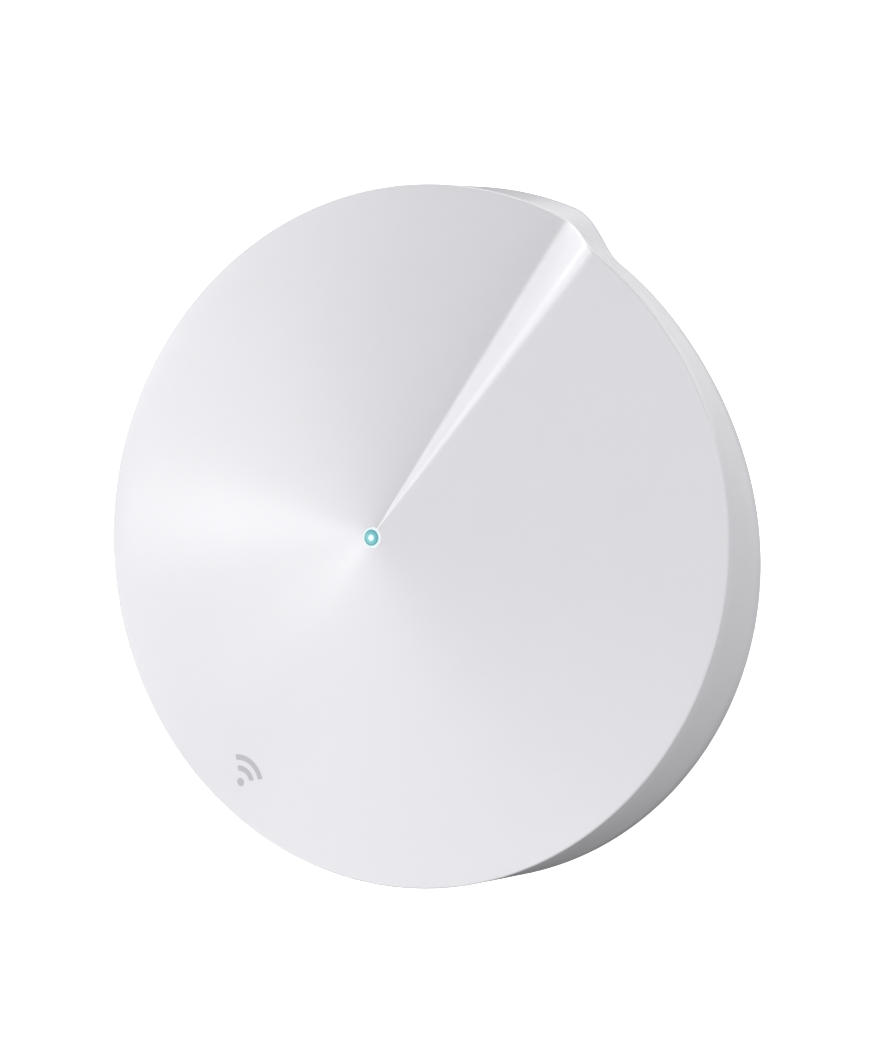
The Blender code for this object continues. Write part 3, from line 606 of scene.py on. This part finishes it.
def board_green():
    """Solder mask over copper: runs of fine tracks, whose direction changes from field to field."""
    made = surface(
        "solder_mask", (0.02, 0.16, 0.09), 0.36, size=4.0, shade=0.1, grain=0.1, relief=0.002
    )
    nodes, links = made.node_tree.nodes, made.node_tree.links
    shader = nodes["Principled BSDF"]
    place = nodes.new("ShaderNodeTexCoord")
    field = nodes.new("ShaderNodeTexVoronoi")
    field.distance = "CHEBYCHEV"
    field.inputs["Scale"].default_value = 1.0 / TRACK_FIELD
    links.new(place.outputs["Object"], field.inputs["Vector"])
    pick = nodes.new("ShaderNodeSeparateColor")
    links.new(field.outputs["Color"], pick.inputs["Color"])
    runs = []
    for direction in ("X", "Y"):
        wave = nodes.new("ShaderNodeTexWave")
        wave.bands_direction = direction
        wave.inputs["Scale"].default_value = WAVE_PERIOD / TRACK_PITCH
        links.new(place.outputs["Object"], wave.inputs["Vector"])
        runs.append(wave.outputs["Fac"])
    chosen = nodes.new("ShaderNodeMix")
    links.new(runs[0], chosen.inputs["A"])
    links.new(runs[1], chosen.inputs["B"])
    which = nodes.new("ShaderNodeMath")
    which.operation = "GREATER_THAN"
    which.inputs[1].default_value = 0.5
    links.new(pick.outputs["Red"], which.inputs[0])
    links.new(which.outputs["Value"], chosen.inputs["Factor"])
    tracks = nodes.new("ShaderNodeValToRGB")
    tracks.color_ramp.elements[0].position = 0.45
    tracks.color_ramp.elements[0].color = (0.012, 0.105, 0.058, 1.0)
    tracks.color_ramp.elements[1].position = 0.6
    tracks.color_ramp.elements[1].color = (0.035, 0.24, 0.13, 1.0)
    links.new(chosen.outputs["Result"], tracks.inputs["Fac"])
    links.new(tracks.outputs["Color"], shader.inputs["Base Color"])
    links.new(chosen.outputs["Result"], nodes["relief"].inputs["Height"])
    nodes["relief"].inputs["Distance"].default_value = 0.02 * MM
    return made


def clear_acrylic():
    made = surface(
        "clear_acrylic", (0.90, 0.95, 0.97), 0.08, size=1.0, shade=0.0, spread=0.03, relief=0.001
    )
    made.node_tree.nodes["Principled BSDF"].inputs["Transmission Weight"].default_value = 0.9
    return made


def make_finishes():
    """Every finish by the name of its slot in the record."""
    brushed = (0.05, 1.0, 1.0)
    plain = {
        "gloss_white": (
            ("gloss_white_plastic", (0.80, 0.79, 0.825), 0.24),
            dict(size=6.0, shade=0.003, spread=0.02, grain=1.2, relief=0.0015),
        ),
        "satin_white": (
            ("satin_white_plastic", (0.74, 0.73, 0.76), 0.48),
            dict(size=2.0, shade=0.01, grain=0.28, relief=0.012),
        ),
        "grey_rubber": (
            ("grey_rubber", (0.30, 0.30, 0.32), 0.82),
            dict(size=1.2, shade=0.06, spread=0.08, grain=0.18, relief=0.02),
        ),
        "chip_black": (
            ("moulded_epoxy", (0.022, 0.022, 0.024), 0.5),
            dict(size=0.8, shade=0.12, spread=0.08, grain=0.1, relief=0.008),
        ),
        "socket_black": (
            ("black_nylon", (0.03, 0.03, 0.033), 0.46),
            dict(size=1.4, shade=0.08, spread=0.06, grain=0.16, relief=0.005),
        ),
        "tin": (
            ("tinned_sheet", (0.66, 0.66, 0.67), 0.34, 1.0),
            dict(size=2.5, shade=0.05, spread=0.05, grain=0.12, relief=0.002, stretch=brushed),
        ),
        "gold": (
            ("gold_plate", (0.86, 0.62, 0.22), 0.21, 1.0),
            dict(size=0.5, shade=0.05, spread=0.05, grain=0.1),
        ),
        "steel": (
            ("zinc_plated_steel", (0.52, 0.52, 0.54), 0.36, 1.0),
            dict(size=0.8, shade=0.08, spread=0.07, grain=0.1),
        ),
        "aluminium": (
            ("rolled_aluminium", (0.72, 0.72, 0.74), 0.38, 1.0),
            dict(size=2.0, shade=0.05, spread=0.08, grain=0.1, stretch=brushed),
        ),
        "pad_blue": (
            ("thermal_pad", (0.42, 0.52, 0.62), 0.8),
            dict(size=0.7, shade=0.08, spread=0.06, grain=0.25, relief=0.03),
        ),
        "ferrite": (
            ("ferrite", (0.10, 0.10, 0.11), 0.68),
            dict(size=0.5, shade=0.25, spread=0.08, grain=0.15, relief=0.03),
        ),
        "led_white": (
            ("led_package", (0.92, 0.92, 0.80), 0.35),
            dict(size=0.6, shade=0.05, spread=0.05, grain=0.1, relief=0.002),
        ),
    }
    finishes = {slot: surface(*base, **texture) for slot, (base, texture) in plain.items()}
    finishes["light_teal"] = light_teal()
    finishes["clear"] = clear_acrylic()
    finishes["label_grey"] = label_grey()
    finishes["board_green"] = board_green()
    return finishes


# ---------------------------------------------------------------- cover


def build_cover():
    """The face, its rounded rim, the side wall and its rounded hem, as one skin of even thickness,
    with the screw posts under it and the cut for the socket bay."""
    rows = None
    inner_radius = RIM_RADIUS - COVER_THICKNESS
    under_radii = (30.0 * MM, LIGHT_HOLE_RADIUS)
    across_face = [mm * MM for mm in (1.75, 2.1, 3.0, 5.0, 8.0, 14.0, 24.0, 36.0, 48.0, 56.0)]
    for azimuth, rim_z, hem_radius in rim_lines(0.9, 0.25):
        apex = (0.0, APEX_Z)
        rim = (RIM_RADIUS, rim_z)
        hem = (hem_radius, HEM_Z)
        hem_in = (hem_radius - COVER_THICKNESS, HEM_Z)
        inner_rim = (inner_radius, face_z(inner_radius, rim_z) - COVER_THICKNESS)
        section = [Vector((radius, face_z(radius, rim_z))) for radius in across_face]
        section += rounded_corner(apex, rim, hem, EDGE_ROUND, 8)
        section += [Vector(rim).lerp(Vector(hem), share) for share in (0.2, 0.4, 0.6, 0.8)]
        section += rounded_corner(rim, hem, hem_in, HEM_ROUND, 3)
        section += rounded_corner(hem, hem_in, inner_rim, HEM_ROUND, 2)
        section.append(Vector(inner_rim))
        for radius in under_radii:
            section.append(Vector((radius, face_z(radius, rim_z) - COVER_THICKNESS)))
        if rows is None:
            rows = [[] for _ in section]
        for row, (radius, z) in zip(rows, section):
            row.append((radius * math.cos(azimuth), radius * math.sin(azimuth), z))
    cover = piece("cover_shell", stacked(rows, endless=True), FINISH["gloss_white"])
    posts, cuts = [], []
    for degrees in POST_AZIMUTHS.values():
        centre = polar(POST_RADIUS, degrees)
        top = under_face(*centre) + OVERLAP
        profile = (
            (POST_WIDTH - POST_CHAMFER, POST_LOW_Z),
            (POST_WIDTH, POST_LOW_Z + POST_CHAMFER),
            (POST_WIDTH, top - POST_FLARE_DEPTH),
            (POST_WIDTH + POST_FLARE, top),
        )
        posts.append(turned(profile, centre, 32))
        pilot = SCREW_SHANK_RADIUS + GAP
        cuts.append(disc(centre, pilot, POST_LOW_Z - OVERLAP, POST_LOW_Z + PILOT_DEPTH, 24))
    mouth = BAY_HALF + GAP
    low = (-mouth, COVER_CUT_Y, HEM_Z - BAY_CUT_DROP)
    high = (mouth, OUTSIDE_Y, BAY_HIGH_Z + GAP)
    cuts.append(rounded_bar(low, high, BAY_CORNER + GAP))
    combine(cover, gathered(posts), "UNION")
    combine(cover, gathered(cuts), "DIFFERENCE")
    show(cover, "gloss_white", "top_cover")


def clockwise_from_fold(x, y):
    return math.degrees(FOLD_AZIMUTH - math.atan2(y, x)) % 360.0


def face_height(x, y):
    """The height of the face above a point of the table."""
    rim_z = HEM_Z + round_the_rim(clockwise_from_fold(x, y))[0]
    return face_z(math.hypot(x, y), rim_z)


def under_face(x, y):
    return face_height(x, y) - COVER_THICKNESS


def build_lens():
    """The domed lens that closes the hole in the face."""
    radius = LIGHT_HOLE_RADIUS - 0.06 * MM
    line = (
        (radius, APEX_Z - 2.2 * MM),
        (radius, APEX_Z - 0.16 * MM),
        (radius * 0.5, APEX_Z - 0.02 * MM),
        (radius * 0.1, APEX_Z),
    )
    profile = rounded_line(line, (0.12 * MM, 0.8 * MM))
    lens = piece("lens_dome", turned(profile, segments=64), FINISH["light_teal"])
    show(lens, "light_teal", "light_lens")


def build_signal_mark():
    """A dot and two arcs, printed on the face."""
    inwards = Vector((-math.cos(MARK_AZIMUTH), -math.sin(MARK_AZIMUTH)))
    along = Vector((-inwards.y, inwards.x))
    dot = inwards * (MARK_DOT_V - MARK_RADIUS)

    def arc(radius, angles):
        return [dot + along * radius * math.sin(a) + inwards * radius * math.cos(a) for a in angles]

    outlines = [arc(MARK_DOT_RADIUS, [math.tau * i / 32 for i in range(32)])]
    sweep = [MARK_ARC_SPREAD * (i / 12 - 1.0) for i in range(25)]
    for radius in MARK_ARC_RADII:
        outer = arc(radius + MARK_HALF_STROKE, sweep)
        inner = arc(radius - MARK_HALF_STROKE, sweep)
        outlines.append(outer + inner[::-1])
    shapes = []
    for outline in outlines:
        rings = []
        for lift in (MARK_FOOT, MARK_TOP):
            rings.append([(p.x, p.y, face_height(p.x, p.y) + lift) for p in outline])
        shapes.append(stacked(rings))
    ink = surface(
        "mark_ink", (0.50, 0.49, 0.53), 0.34, size=1.0, shade=0.01, spread=0.03, relief=0.001
    )
    show(piece("signal_mark", gathered(shapes), ink), "label_grey")


# ---------------------------------------------------------------- tray


def build_tray():
    """The base: an inset, tapering wall on a flat floor, with bosses, vents, recesses and the cut
    for the socket bay."""
    rows = None
    for azimuth, _, hem_radius in rim_lines(1.2, 0.5):
        top = hem_radius - TRAY_INSET
        low = top - TRAY_TAPER * (TRAY_TOP_Z - BASE_BOTTOM_Z)
        lip_outer = hem_radius - LIP_INSET
        lip_inner = lip_outer - LIP_THICKNESS
        line = (
            (low - TRAY_THICKNESS - 1.0 * MM, FLOOR_TOP_Z),
            (lip_inner, TRAY_TOP_Z - TRAY_THICKNESS),
            (lip_inner, LIP_TOP_Z),
            (lip_outer, LIP_TOP_Z),
            (lip_outer, TRAY_TOP_Z),
            (top, TRAY_TOP_Z),
            (low, BASE_BOTTOM_Z),
            (low - 8.0 * MM, BASE_BOTTOM_Z),
        )
        radii = (0.0, LIP_ROUND, LIP_ROUND, 0.0, TRAY_EDGE_ROUND, TRAY_FILLET)
        section = rounded_line(line, radii, 5)
        if rows is None:
            rows = [[] for _ in section]
        for row, (radius, z) in zip(rows, section):
            row.append((radius * math.cos(azimuth), radius * math.sin(azimuth), z))
    tray = piece("base_tray", stacked(rows), FINISH["satin_white"])
    boss_top = BOARD_LOW_Z - GAP
    bosses, recesses, bores = [], [], []
    for degrees in POST_AZIMUTHS.values():
        centre = polar(POST_RADIUS, degrees)
        bosses.append(boss(centre, FOOT_BOSS_RADIUS, boss_top))
        recesses.append(disc(centre, FOOT_RADIUS + RECESS_GAP, -OVERLAP, FOOT_TOP_Z + GAP, 64))
        head, shank = SCREW_HEAD_RADIUS + GAP, SCREW_SHANK_RADIUS + GAP
        wide = ((head, FOOT_TOP_Z), (head, SCREW_LEDGE_Z))
        narrow = ((shank, SCREW_LEDGE_Z), (shank, boss_top + OVERLAP))
        bores.append(turned((*wide, *narrow), centre, 32))
    for centre in BOARD_SCREWS.values():
        bosses.append(boss(centre, BOARD_BOSS_RADIUS, boss_top))
        bore = BOARD_SCREW_RADIUS + GAP
        bores.append(disc(centre, bore, FLOOR_TOP_Z + 0.8 * MM, boss_top + OVERLAP, 24))
    label_radius = LABEL_RADIUS + RECESS_GAP
    recesses.append(disc((0.0, 0.0), label_radius, -OVERLAP, LABEL_TOP_Z + GAP, 128))
    bores.append(disc(BUTTON_AT, BUTTON_RADIUS + GAP, -OVERLAP, FLOOR_TOP_Z + OVERLAP, 48))
    combine(tray, gathered(bosses), "UNION")
    combine(tray, gathered(recesses), "DIFFERENCE")
    combine(tray, gathered(bores + vents()), "DIFFERENCE")
    mouth = BAY_HALF + GAP
    low = (-mouth, TRAY_CUT_Y, BAY_LOW_Z - GAP)
    high = (mouth, OUTSIDE_Y, LIP_TOP_Z + BAY_CUT_RISE)
    combine(tray, rounded_bar(low, high, BAY_CORNER + GAP), "DIFFERENCE")
    show(tray, "satin_white", "base_case")


def disc(centre, radius, low_z, high_z, segments):
    return turned(((radius, low_z), (radius, high_z)), centre, segments)


def boss(centre, radius, top):
    """A screw boss that flares where it meets the floor."""
    foot = FLOOR_TOP_Z - OVERLAP
    flare = ((radius + 1.2 * MM, foot), (radius + 1.0 * MM, FLOOR_TOP_Z + 0.1 * MM))
    shank = ((radius + 0.3 * MM, FLOOR_TOP_Z + 0.6 * MM), (radius, FLOOR_TOP_Z + 1.4 * MM))
    return turned((*flare, *shank, (radius, top - 0.2 * MM), (radius - 0.2 * MM, top)), centre, 40)


def vents():
    """Radial slots with round ends, left out where a boss or the button stands."""
    slots = []
    taken = [*BOARD_SCREWS.values(), BUTTON_AT]
    middle = (VENT_INNER_RADIUS + VENT_OUTER_RADIUS) / 2
    radii = (VENT_INNER_RADIUS, middle, VENT_OUTER_RADIUS)
    for i in range(VENT_COUNT):
        degrees = 360.0 * (i + 0.5) / VENT_COUNT
        samples = [polar(radius, degrees) for radius in radii]
        if any(math.dist(s, t) < VENT_CLEARANCE for s in samples for t in taken):
            continue
        low = (VENT_INNER_RADIUS, -VENT_WIDTH / 2, -OVERLAP)
        high = (VENT_OUTER_RADIUS, VENT_WIDTH / 2, FLOOR_TOP_Z + OVERLAP)
        slots.append(spun(rounded_bar(low, high, VENT_WIDTH / 2 * OVAL, "z"), degrees))
    return slots


def build_feet():
    """Moulded rubber pads with a round edge and a ring groove in the sole."""
    for place, degrees in POST_AZIMUTHS.items():
        line = (
            (0.6 * MM, 0.0),
            (2.6 * MM, 0.0),
            (2.9 * MM, 0.35 * MM),
            (3.3 * MM, 0.35 * MM),
            (3.6 * MM, 0.0),
            (FOOT_RADIUS, 0.0),
            (FOOT_RADIUS, FOOT_TOP_Z),
            (0.6 * MM, FOOT_TOP_Z),
        )
        groove, edge, rim = 0.1 * MM, 0.6 * MM, 0.15 * MM
        profile = rounded_line(line, (groove, groove, groove, groove, edge, rim), 5)
        shape = turned(profile, polar(POST_RADIUS, degrees), 64)
        pad = piece(f"foot_pad_{place}", shape, FINISH["grey_rubber"])
        show(pad, "grey_rubber", f"foot_{place}")


def build_label():
    """A blank round label with a rolled edge, in its recess."""
    line = (
        (0.5 * MM, LABEL_LOW_Z),
        (LABEL_RADIUS, LABEL_LOW_Z),
        (LABEL_RADIUS, LABEL_TOP_Z),
        (0.5 * MM, LABEL_TOP_Z),
    )
    shape = turned(rounded_line(line, (0.12 * MM, 0.0)), segments=128)
    show(piece("blank_label", shape, FINISH["label_grey"]), "label_grey", "rating_label")


def build_reset_button():
    """A short plunger with a dished face and a flange that keeps it in the floor."""
    flange = BUTTON_RADIUS + 1.3 * MM
    line = (
        (0.3 * MM, 1.75 * MM),
        (1.4 * MM, 1.65 * MM),
        (BUTTON_RADIUS - 0.5 * MM, 1.5 * MM),
        (BUTTON_RADIUS, 1.5 * MM),
        (BUTTON_RADIUS, FLOOR_TOP_Z + GAP),
        (flange, FLOOR_TOP_Z + GAP),
        (flange, 4.3 * MM),
        (0.3 * MM, 4.3 * MM),
    )
    radii = (0.5 * MM, 0.1 * MM, 0.3 * MM, 0.0, 0.15 * MM, 0.2 * MM)
    shape = turned(rounded_line(line, radii), BUTTON_AT, 64)
    button = piece("reset_cap", shape, FINISH["grey_rubber"])
    show(button, "grey_rubber", "reset_button", body="reset_button")


# ---------------------------------------------------------------- sockets


def build_port_frame():
    """The recessed panel round the sockets, with round corners, and four walls that reach out to
    the case."""
    back = PANEL_FACE_Y - PANEL_THICKNESS
    bar = rounded_bar((-BAY_HALF, back, BAY_LOW_Z), (BAY_HALF, 64.0 * MM, BAY_HIGH_Z), BAY_CORNER)
    panel = piece("port_panel", bar, FINISH["satin_white"])
    low = (-BAY_HALF + BAY_WALL, PANEL_FACE_Y, BAY_LOW_Z + BAY_WALL)
    high = (BAY_HALF - BAY_WALL, OUTSIDE_Y, BAY_HIGH_Z - BAY_WALL)
    combine(panel, rounded_bar(low, high, BAY_CORNER / 2), "DIFFERENCE")
    windows = []
    for x in JACK_X.values():
        half = JACK_SIZE.x / 2 + WINDOW_GAP
        low = (x - half, WINDOW_FROM_Y, PART_Z - WINDOW_GAP)
        high = (x + half, WINDOW_TO_Y, PART_Z + JACK_SIZE.z + WINDOW_GAP)
        windows.append(rounded_bar(low, high, 0.3 * MM))
    half_x, half_z = USB_SIZE.x / 2 + USB_WINDOW_GAP, USB_SIZE.z / 2 + USB_WINDOW_GAP
    middle_z = PART_Z + USB_SIZE.z / 2
    low = (USB_X - half_x, WINDOW_FROM_Y, middle_z - half_z)
    high = (USB_X + half_x, WINDOW_TO_Y, middle_z + half_z)
    windows.append(rounded_bar(low, high, half_z * OVAL))
    combine(panel, gathered(windows), "DIFFERENCE")
    hem = REAR_HEM_RADIUS - TRAY_INSET - GAP
    low_radius = hem - TRAY_TAPER * (TRAY_TOP_Z - BASE_BOTTOM_Z)
    profile = ((low_radius, BASE_BOTTOM_Z), (hem, TRAY_TOP_Z), (hem, 30.0 * MM))
    combine(panel, turned(profile, segments=240), "INTERSECT")
    soften(panel, PANEL_EDGE)
    show(panel, "satin_white", "port_frame")


def build_jacks():
    """The two network sockets."""
    for side, x in JACK_X.items():
        build_jack_shell(side, x)
        build_jack_insert(side, x)
        build_contacts(side, x)


def build_jack_shell(side, x):
    """A folded sheet box, open at the front, with a latch window in each side."""
    front, back = SOCKET_FACE_Y, SOCKET_FACE_Y - JACK_SIZE.y
    half = JACK_SIZE.x / 2
    top = PART_Z + JACK_SIZE.z
    bar = rounded_bar((x - half, back, PART_Z), (x + half, front, top), 0.6 * MM, edge=0.06 * MM)
    shell = piece(f"jack_shell_{side}", bar, FINISH["tin"])
    low = (x - half + JACK_WALL, back + JACK_WALL, PART_Z + JACK_WALL)
    high = (x + half - JACK_WALL, front + OVERLAP, top - JACK_WALL)
    combine(shell, rounded_bar(low, high, 0.3 * MM), "DIFFERENCE")
    latch_windows = []
    for sign in (-1, 1):
        middle = Vector((x + sign * half, front - 8.0 * MM, PART_Z + 6.5 * MM))
        reach = Vector((1.0, 1.4, 1.0)) * MM
        latch_windows.append(rounded_bar(middle - reach, middle + reach, 0.3 * MM, "x"))
    combine(shell, gathered(latch_windows), "DIFFERENCE")
    show(shell, "tin", f"ethernet_shell_{side}")


def build_jack_insert(side, x):
    """The black block in a jack, with the plug's T-shaped mouth and a groove for the contacts."""
    front, back = SOCKET_FACE_Y, SOCKET_FACE_Y - JACK_SIZE.y
    inset = JACK_WALL + INSERT_GAP
    half = JACK_SIZE.x / 2 - inset
    low = (x - half, back + inset, PART_Z + inset)
    high = (x + half, front - inset, PART_Z + JACK_SIZE.z - inset)
    bar = rounded_bar(low, high, 0.3 * MM, edge=0.1 * MM)
    insert = piece(f"jack_insert_{side}", bar, FINISH["socket_black"])
    plug_low = PART_Z + PLUG_LIFT
    roof = plug_low + PLUG_HEIGHT
    end, mouth = front - PLUG_DEPTH, front + OVERLAP
    low, high = (x - PLUG_WIDTH / 2, end, plug_low), (x + PLUG_WIDTH / 2, mouth, roof)
    combine(insert, rounded_bar(low, high, 0.25 * MM), "DIFFERENCE")
    steps = ((LATCH_WIDTH + LATCH_SHOULDER, LATCH_HEIGHT * 0.55), (LATCH_WIDTH, LATCH_HEIGHT))
    for width, depth in steps:
        low = (x - width / 2, end, plug_low - depth)
        high = (x + width / 2, mouth, plug_low + OVERLAP)
        combine(insert, rounded_bar(low, high, 0.2 * MM), "DIFFERENCE")
    half = CONTACT_BAR_HALF + GAP
    low = (x - half, end, roof - 0.2 * MM)
    high = (x + half, front - CONTACT_INSET, roof + 1.2 * MM)
    combine(insert, rounded_bar(low, high, 0.15 * MM), "DIFFERENCE")
    show(insert, "socket_black", f"ethernet_insert_{side}")


def build_contacts(side, x):
    """Eight bent wires, high at the mouth and low at the back, held in a bar."""
    wire = 0.23 * MM
    roof = PART_Z + PLUG_LIFT + PLUG_HEIGHT
    front = SOCKET_FACE_Y - CONTACT_INSET - GAP
    back = SOCKET_FACE_Y - PLUG_DEPTH + GAP
    line = (
        (back + 0.9 * MM, roof + 0.62 * MM),
        (front - 0.25 * MM, roof + 0.62 * MM),
        (front - 0.75 * MM, roof + 0.1 * MM),
        (back + 1.2 * MM, roof - 1.55 * MM),
        (back + 0.35 * MM, roof - 1.3 * MM),
    )
    path = rounded_line(line, (0.18 * MM, 0.18 * MM, 0.5 * MM), 6)
    wires = []
    for i in range(CONTACT_COUNT):
        middle = x + (i - (CONTACT_COUNT - 1) / 2) * CONTACT_PITCH
        rings = []
        for j, point in enumerate(path):
            ahead = path[min(j + 1, len(path) - 1)] - path[max(j - 1, 0)]
            normal = Vector((-ahead.y, ahead.x)).normalized()
            ring = []
            for u, v in rounded_outline(wire, wire * 0.7, 0.08 * MM, 2):
                spot = point + normal * v
                ring.append((middle + u, spot.x, spot.y))
            rings.append(ring)
        wires.append(stacked(rings))
    low = (x - CONTACT_BAR_HALF, back + 0.6 * MM, roof + 0.5 * MM)
    high = (x + CONTACT_BAR_HALF, back + 2.2 * MM, roof + 0.95 * MM)
    wires.append(rounded_bar(low, high, 0.1 * MM, "x"))
    contacts = piece(f"jack_contacts_{side}", gathered(wires), FINISH["gold"])
    show(contacts, "gold", f"ethernet_contacts_{side}")


def build_usb():
    """The power inlet: an oval drawn shell with a rolled mouth, a tongue and its gold pads."""
    half_width, half_height = USB_SIZE.x / 2, USB_SIZE.z / 2
    middle_z = PART_Z + half_height
    front, back = SOCKET_FACE_Y, SOCKET_FACE_Y - USB_SIZE.y
    rows = []
    for inset, y in (
        (0.0, back),
        (0.0, front - 0.1 * MM),
        (0.04 * MM, front - 0.02 * MM),
        (0.12 * MM, front),
        (0.2 * MM, front),
        (0.28 * MM, front - 0.05 * MM),
        (USB_WALL, front - 0.15 * MM),
        (USB_WALL, back + USB_WALL),
    ):
        height = half_height - inset
        outline = rounded_outline(half_width - inset, height, height * 0.999, 12)
        rows.append([(USB_X + u, y, middle_z + v) for u, v in outline])
    show(piece("usb_shell", stacked(rows), FINISH["tin"]), "tin", "usb_c_shell")
    tongue_half, thick = 3.3 * MM, 0.35 * MM
    low = (USB_X - tongue_half, back + USB_WALL + GAP, middle_z - thick)
    high = (USB_X + tongue_half, front - 1.2 * MM, middle_z + thick)
    bar = rounded_bar(low, high, 0.3 * MM, edge=0.1 * MM)
    show(piece("usb_tongue", bar, FINISH["socket_black"]), "socket_black", "usb_c_tongue")
    pads = []
    half_pad, proud = 0.13 * MM, 0.04 * MM
    for row in (-1, 1):
        for i in range(USB_PADS):
            x = USB_X + (i - (USB_PADS - 1) / 2) * USB_PAD_PITCH
            z = middle_z + row * thick
            low = (x - half_pad, front - 4.6 * MM, z - proud)
            high = (x + half_pad, front - 1.7 * MM, z + proud)
            pads.append(rounded_bar(low, high, 0.03 * MM))
    show(piece("usb_pads", gathered(pads), FINISH["gold"]), "gold")


# ---------------------------------------------------------------- carried-over parts


def finish_carried_parts():
    """Gives each CAD node that still shows the finish of its slot."""
    for part in frame["record"]["subparts"]:
        mesh = frame["nodes"][part["node"]].data
        mesh.materials.clear()
        mesh.materials.append(FINISH[part["material_slot"]])


# ---------------------------------------------------------------- stage


def build_stage():
    """A plain pale floor that sweeps up into a dome, so it is behind the part from every side."""
    start, floor_z, top_z = 0.02, -0.5 * MM, 1.6 * STAGE_RADIUS
    line = ((start, floor_z), (STAGE_RADIUS, floor_z), (STAGE_RADIUS, top_z), (start, top_z))
    profile = rounded_line(line, (0.5 * STAGE_RADIUS, 0.9 * STAGE_RADIUS), 16)
    made = bpy.data.materials.new("floor_white")
    made.use_nodes = True
    shader = made.node_tree.nodes["Principled BSDF"]
    shader.inputs["Base Color"].default_value = (0.9, 0.9, 0.9, 1.0)
    shader.inputs["Roughness"].default_value = 0.9
    shader.inputs["Emission Color"].default_value = (1.0, 1.0, 1.0, 1.0)
    shader.inputs["Emission Strength"].default_value = FLOOR_GLOW
    floor = piece("floor", turned(profile, segments=96), made, 60.0)
    floor.visible_diffuse = False
    floor.visible_glossy = False
    floor.visible_shadow = False


def on_sphere(azimuth, elevation):
    """The direction of an azimuth and an elevation, in radians."""
    flat = math.cos(elevation)
    return Vector((math.cos(azimuth) * flat, math.sin(azimuth) * flat, math.sin(elevation)))


def build_camera():
    camera = bpy.data.objects.new("camera", bpy.data.cameras.new("camera"))
    bpy.context.scene.collection.objects.link(camera)
    camera.data.sensor_width = 36.0
    camera.data.lens = LENS
    camera.data.clip_start = 0.01
    camera.data.clip_end = 20.0
    back = on_sphere(CAMERA_AZIMUTH, CAMERA_ELEVATION)
    level = (-back).to_track_quat("-Z", "Y").to_matrix()
    tilted = level @ Matrix.Rotation(-CAMERA_ROLL, 3, "Z")
    camera.matrix_world = Matrix.Translation(AIM + back * CAMERA_RANGE) @ tilted.to_4x4()
    bpy.context.scene.camera = camera


def build_lights():
    world = bpy.data.worlds.new("studio")
    world.use_nodes = True
    background = world.node_tree.nodes["Background"]
    background.inputs["Color"].default_value = (1.0, 1.0, 1.0, 1.0)
    background.inputs["Strength"].default_value = WORLD_GLOW
    bpy.context.scene.world = world
    bpy.context.scene.view_settings.view_transform = "Standard"
    for name, azimuth, elevation, width, power in SOFT_BOXES:
        data = bpy.data.lights.new(name, "AREA")
        data.size = width
        data.energy = power
        lamp = bpy.data.objects.new(name, data)
        bpy.context.scene.collection.objects.link(lamp)
        towards = on_sphere(math.radians(azimuth), math.radians(elevation))
        lamp.location = LIGHT_AIM + towards * LIGHT_RANGE
        lamp.rotation_euler = (-towards).to_track_quat("-Z", "Y").to_euler()


FINISH = make_finishes()
build_camera()
build_lights()
finish_carried_parts()
build_cover()
build_lens()
build_signal_mark()
build_tray()
build_feet()
build_label()
build_reset_button()
build_port_frame()
build_jacks()
build_usb()
build_stage()
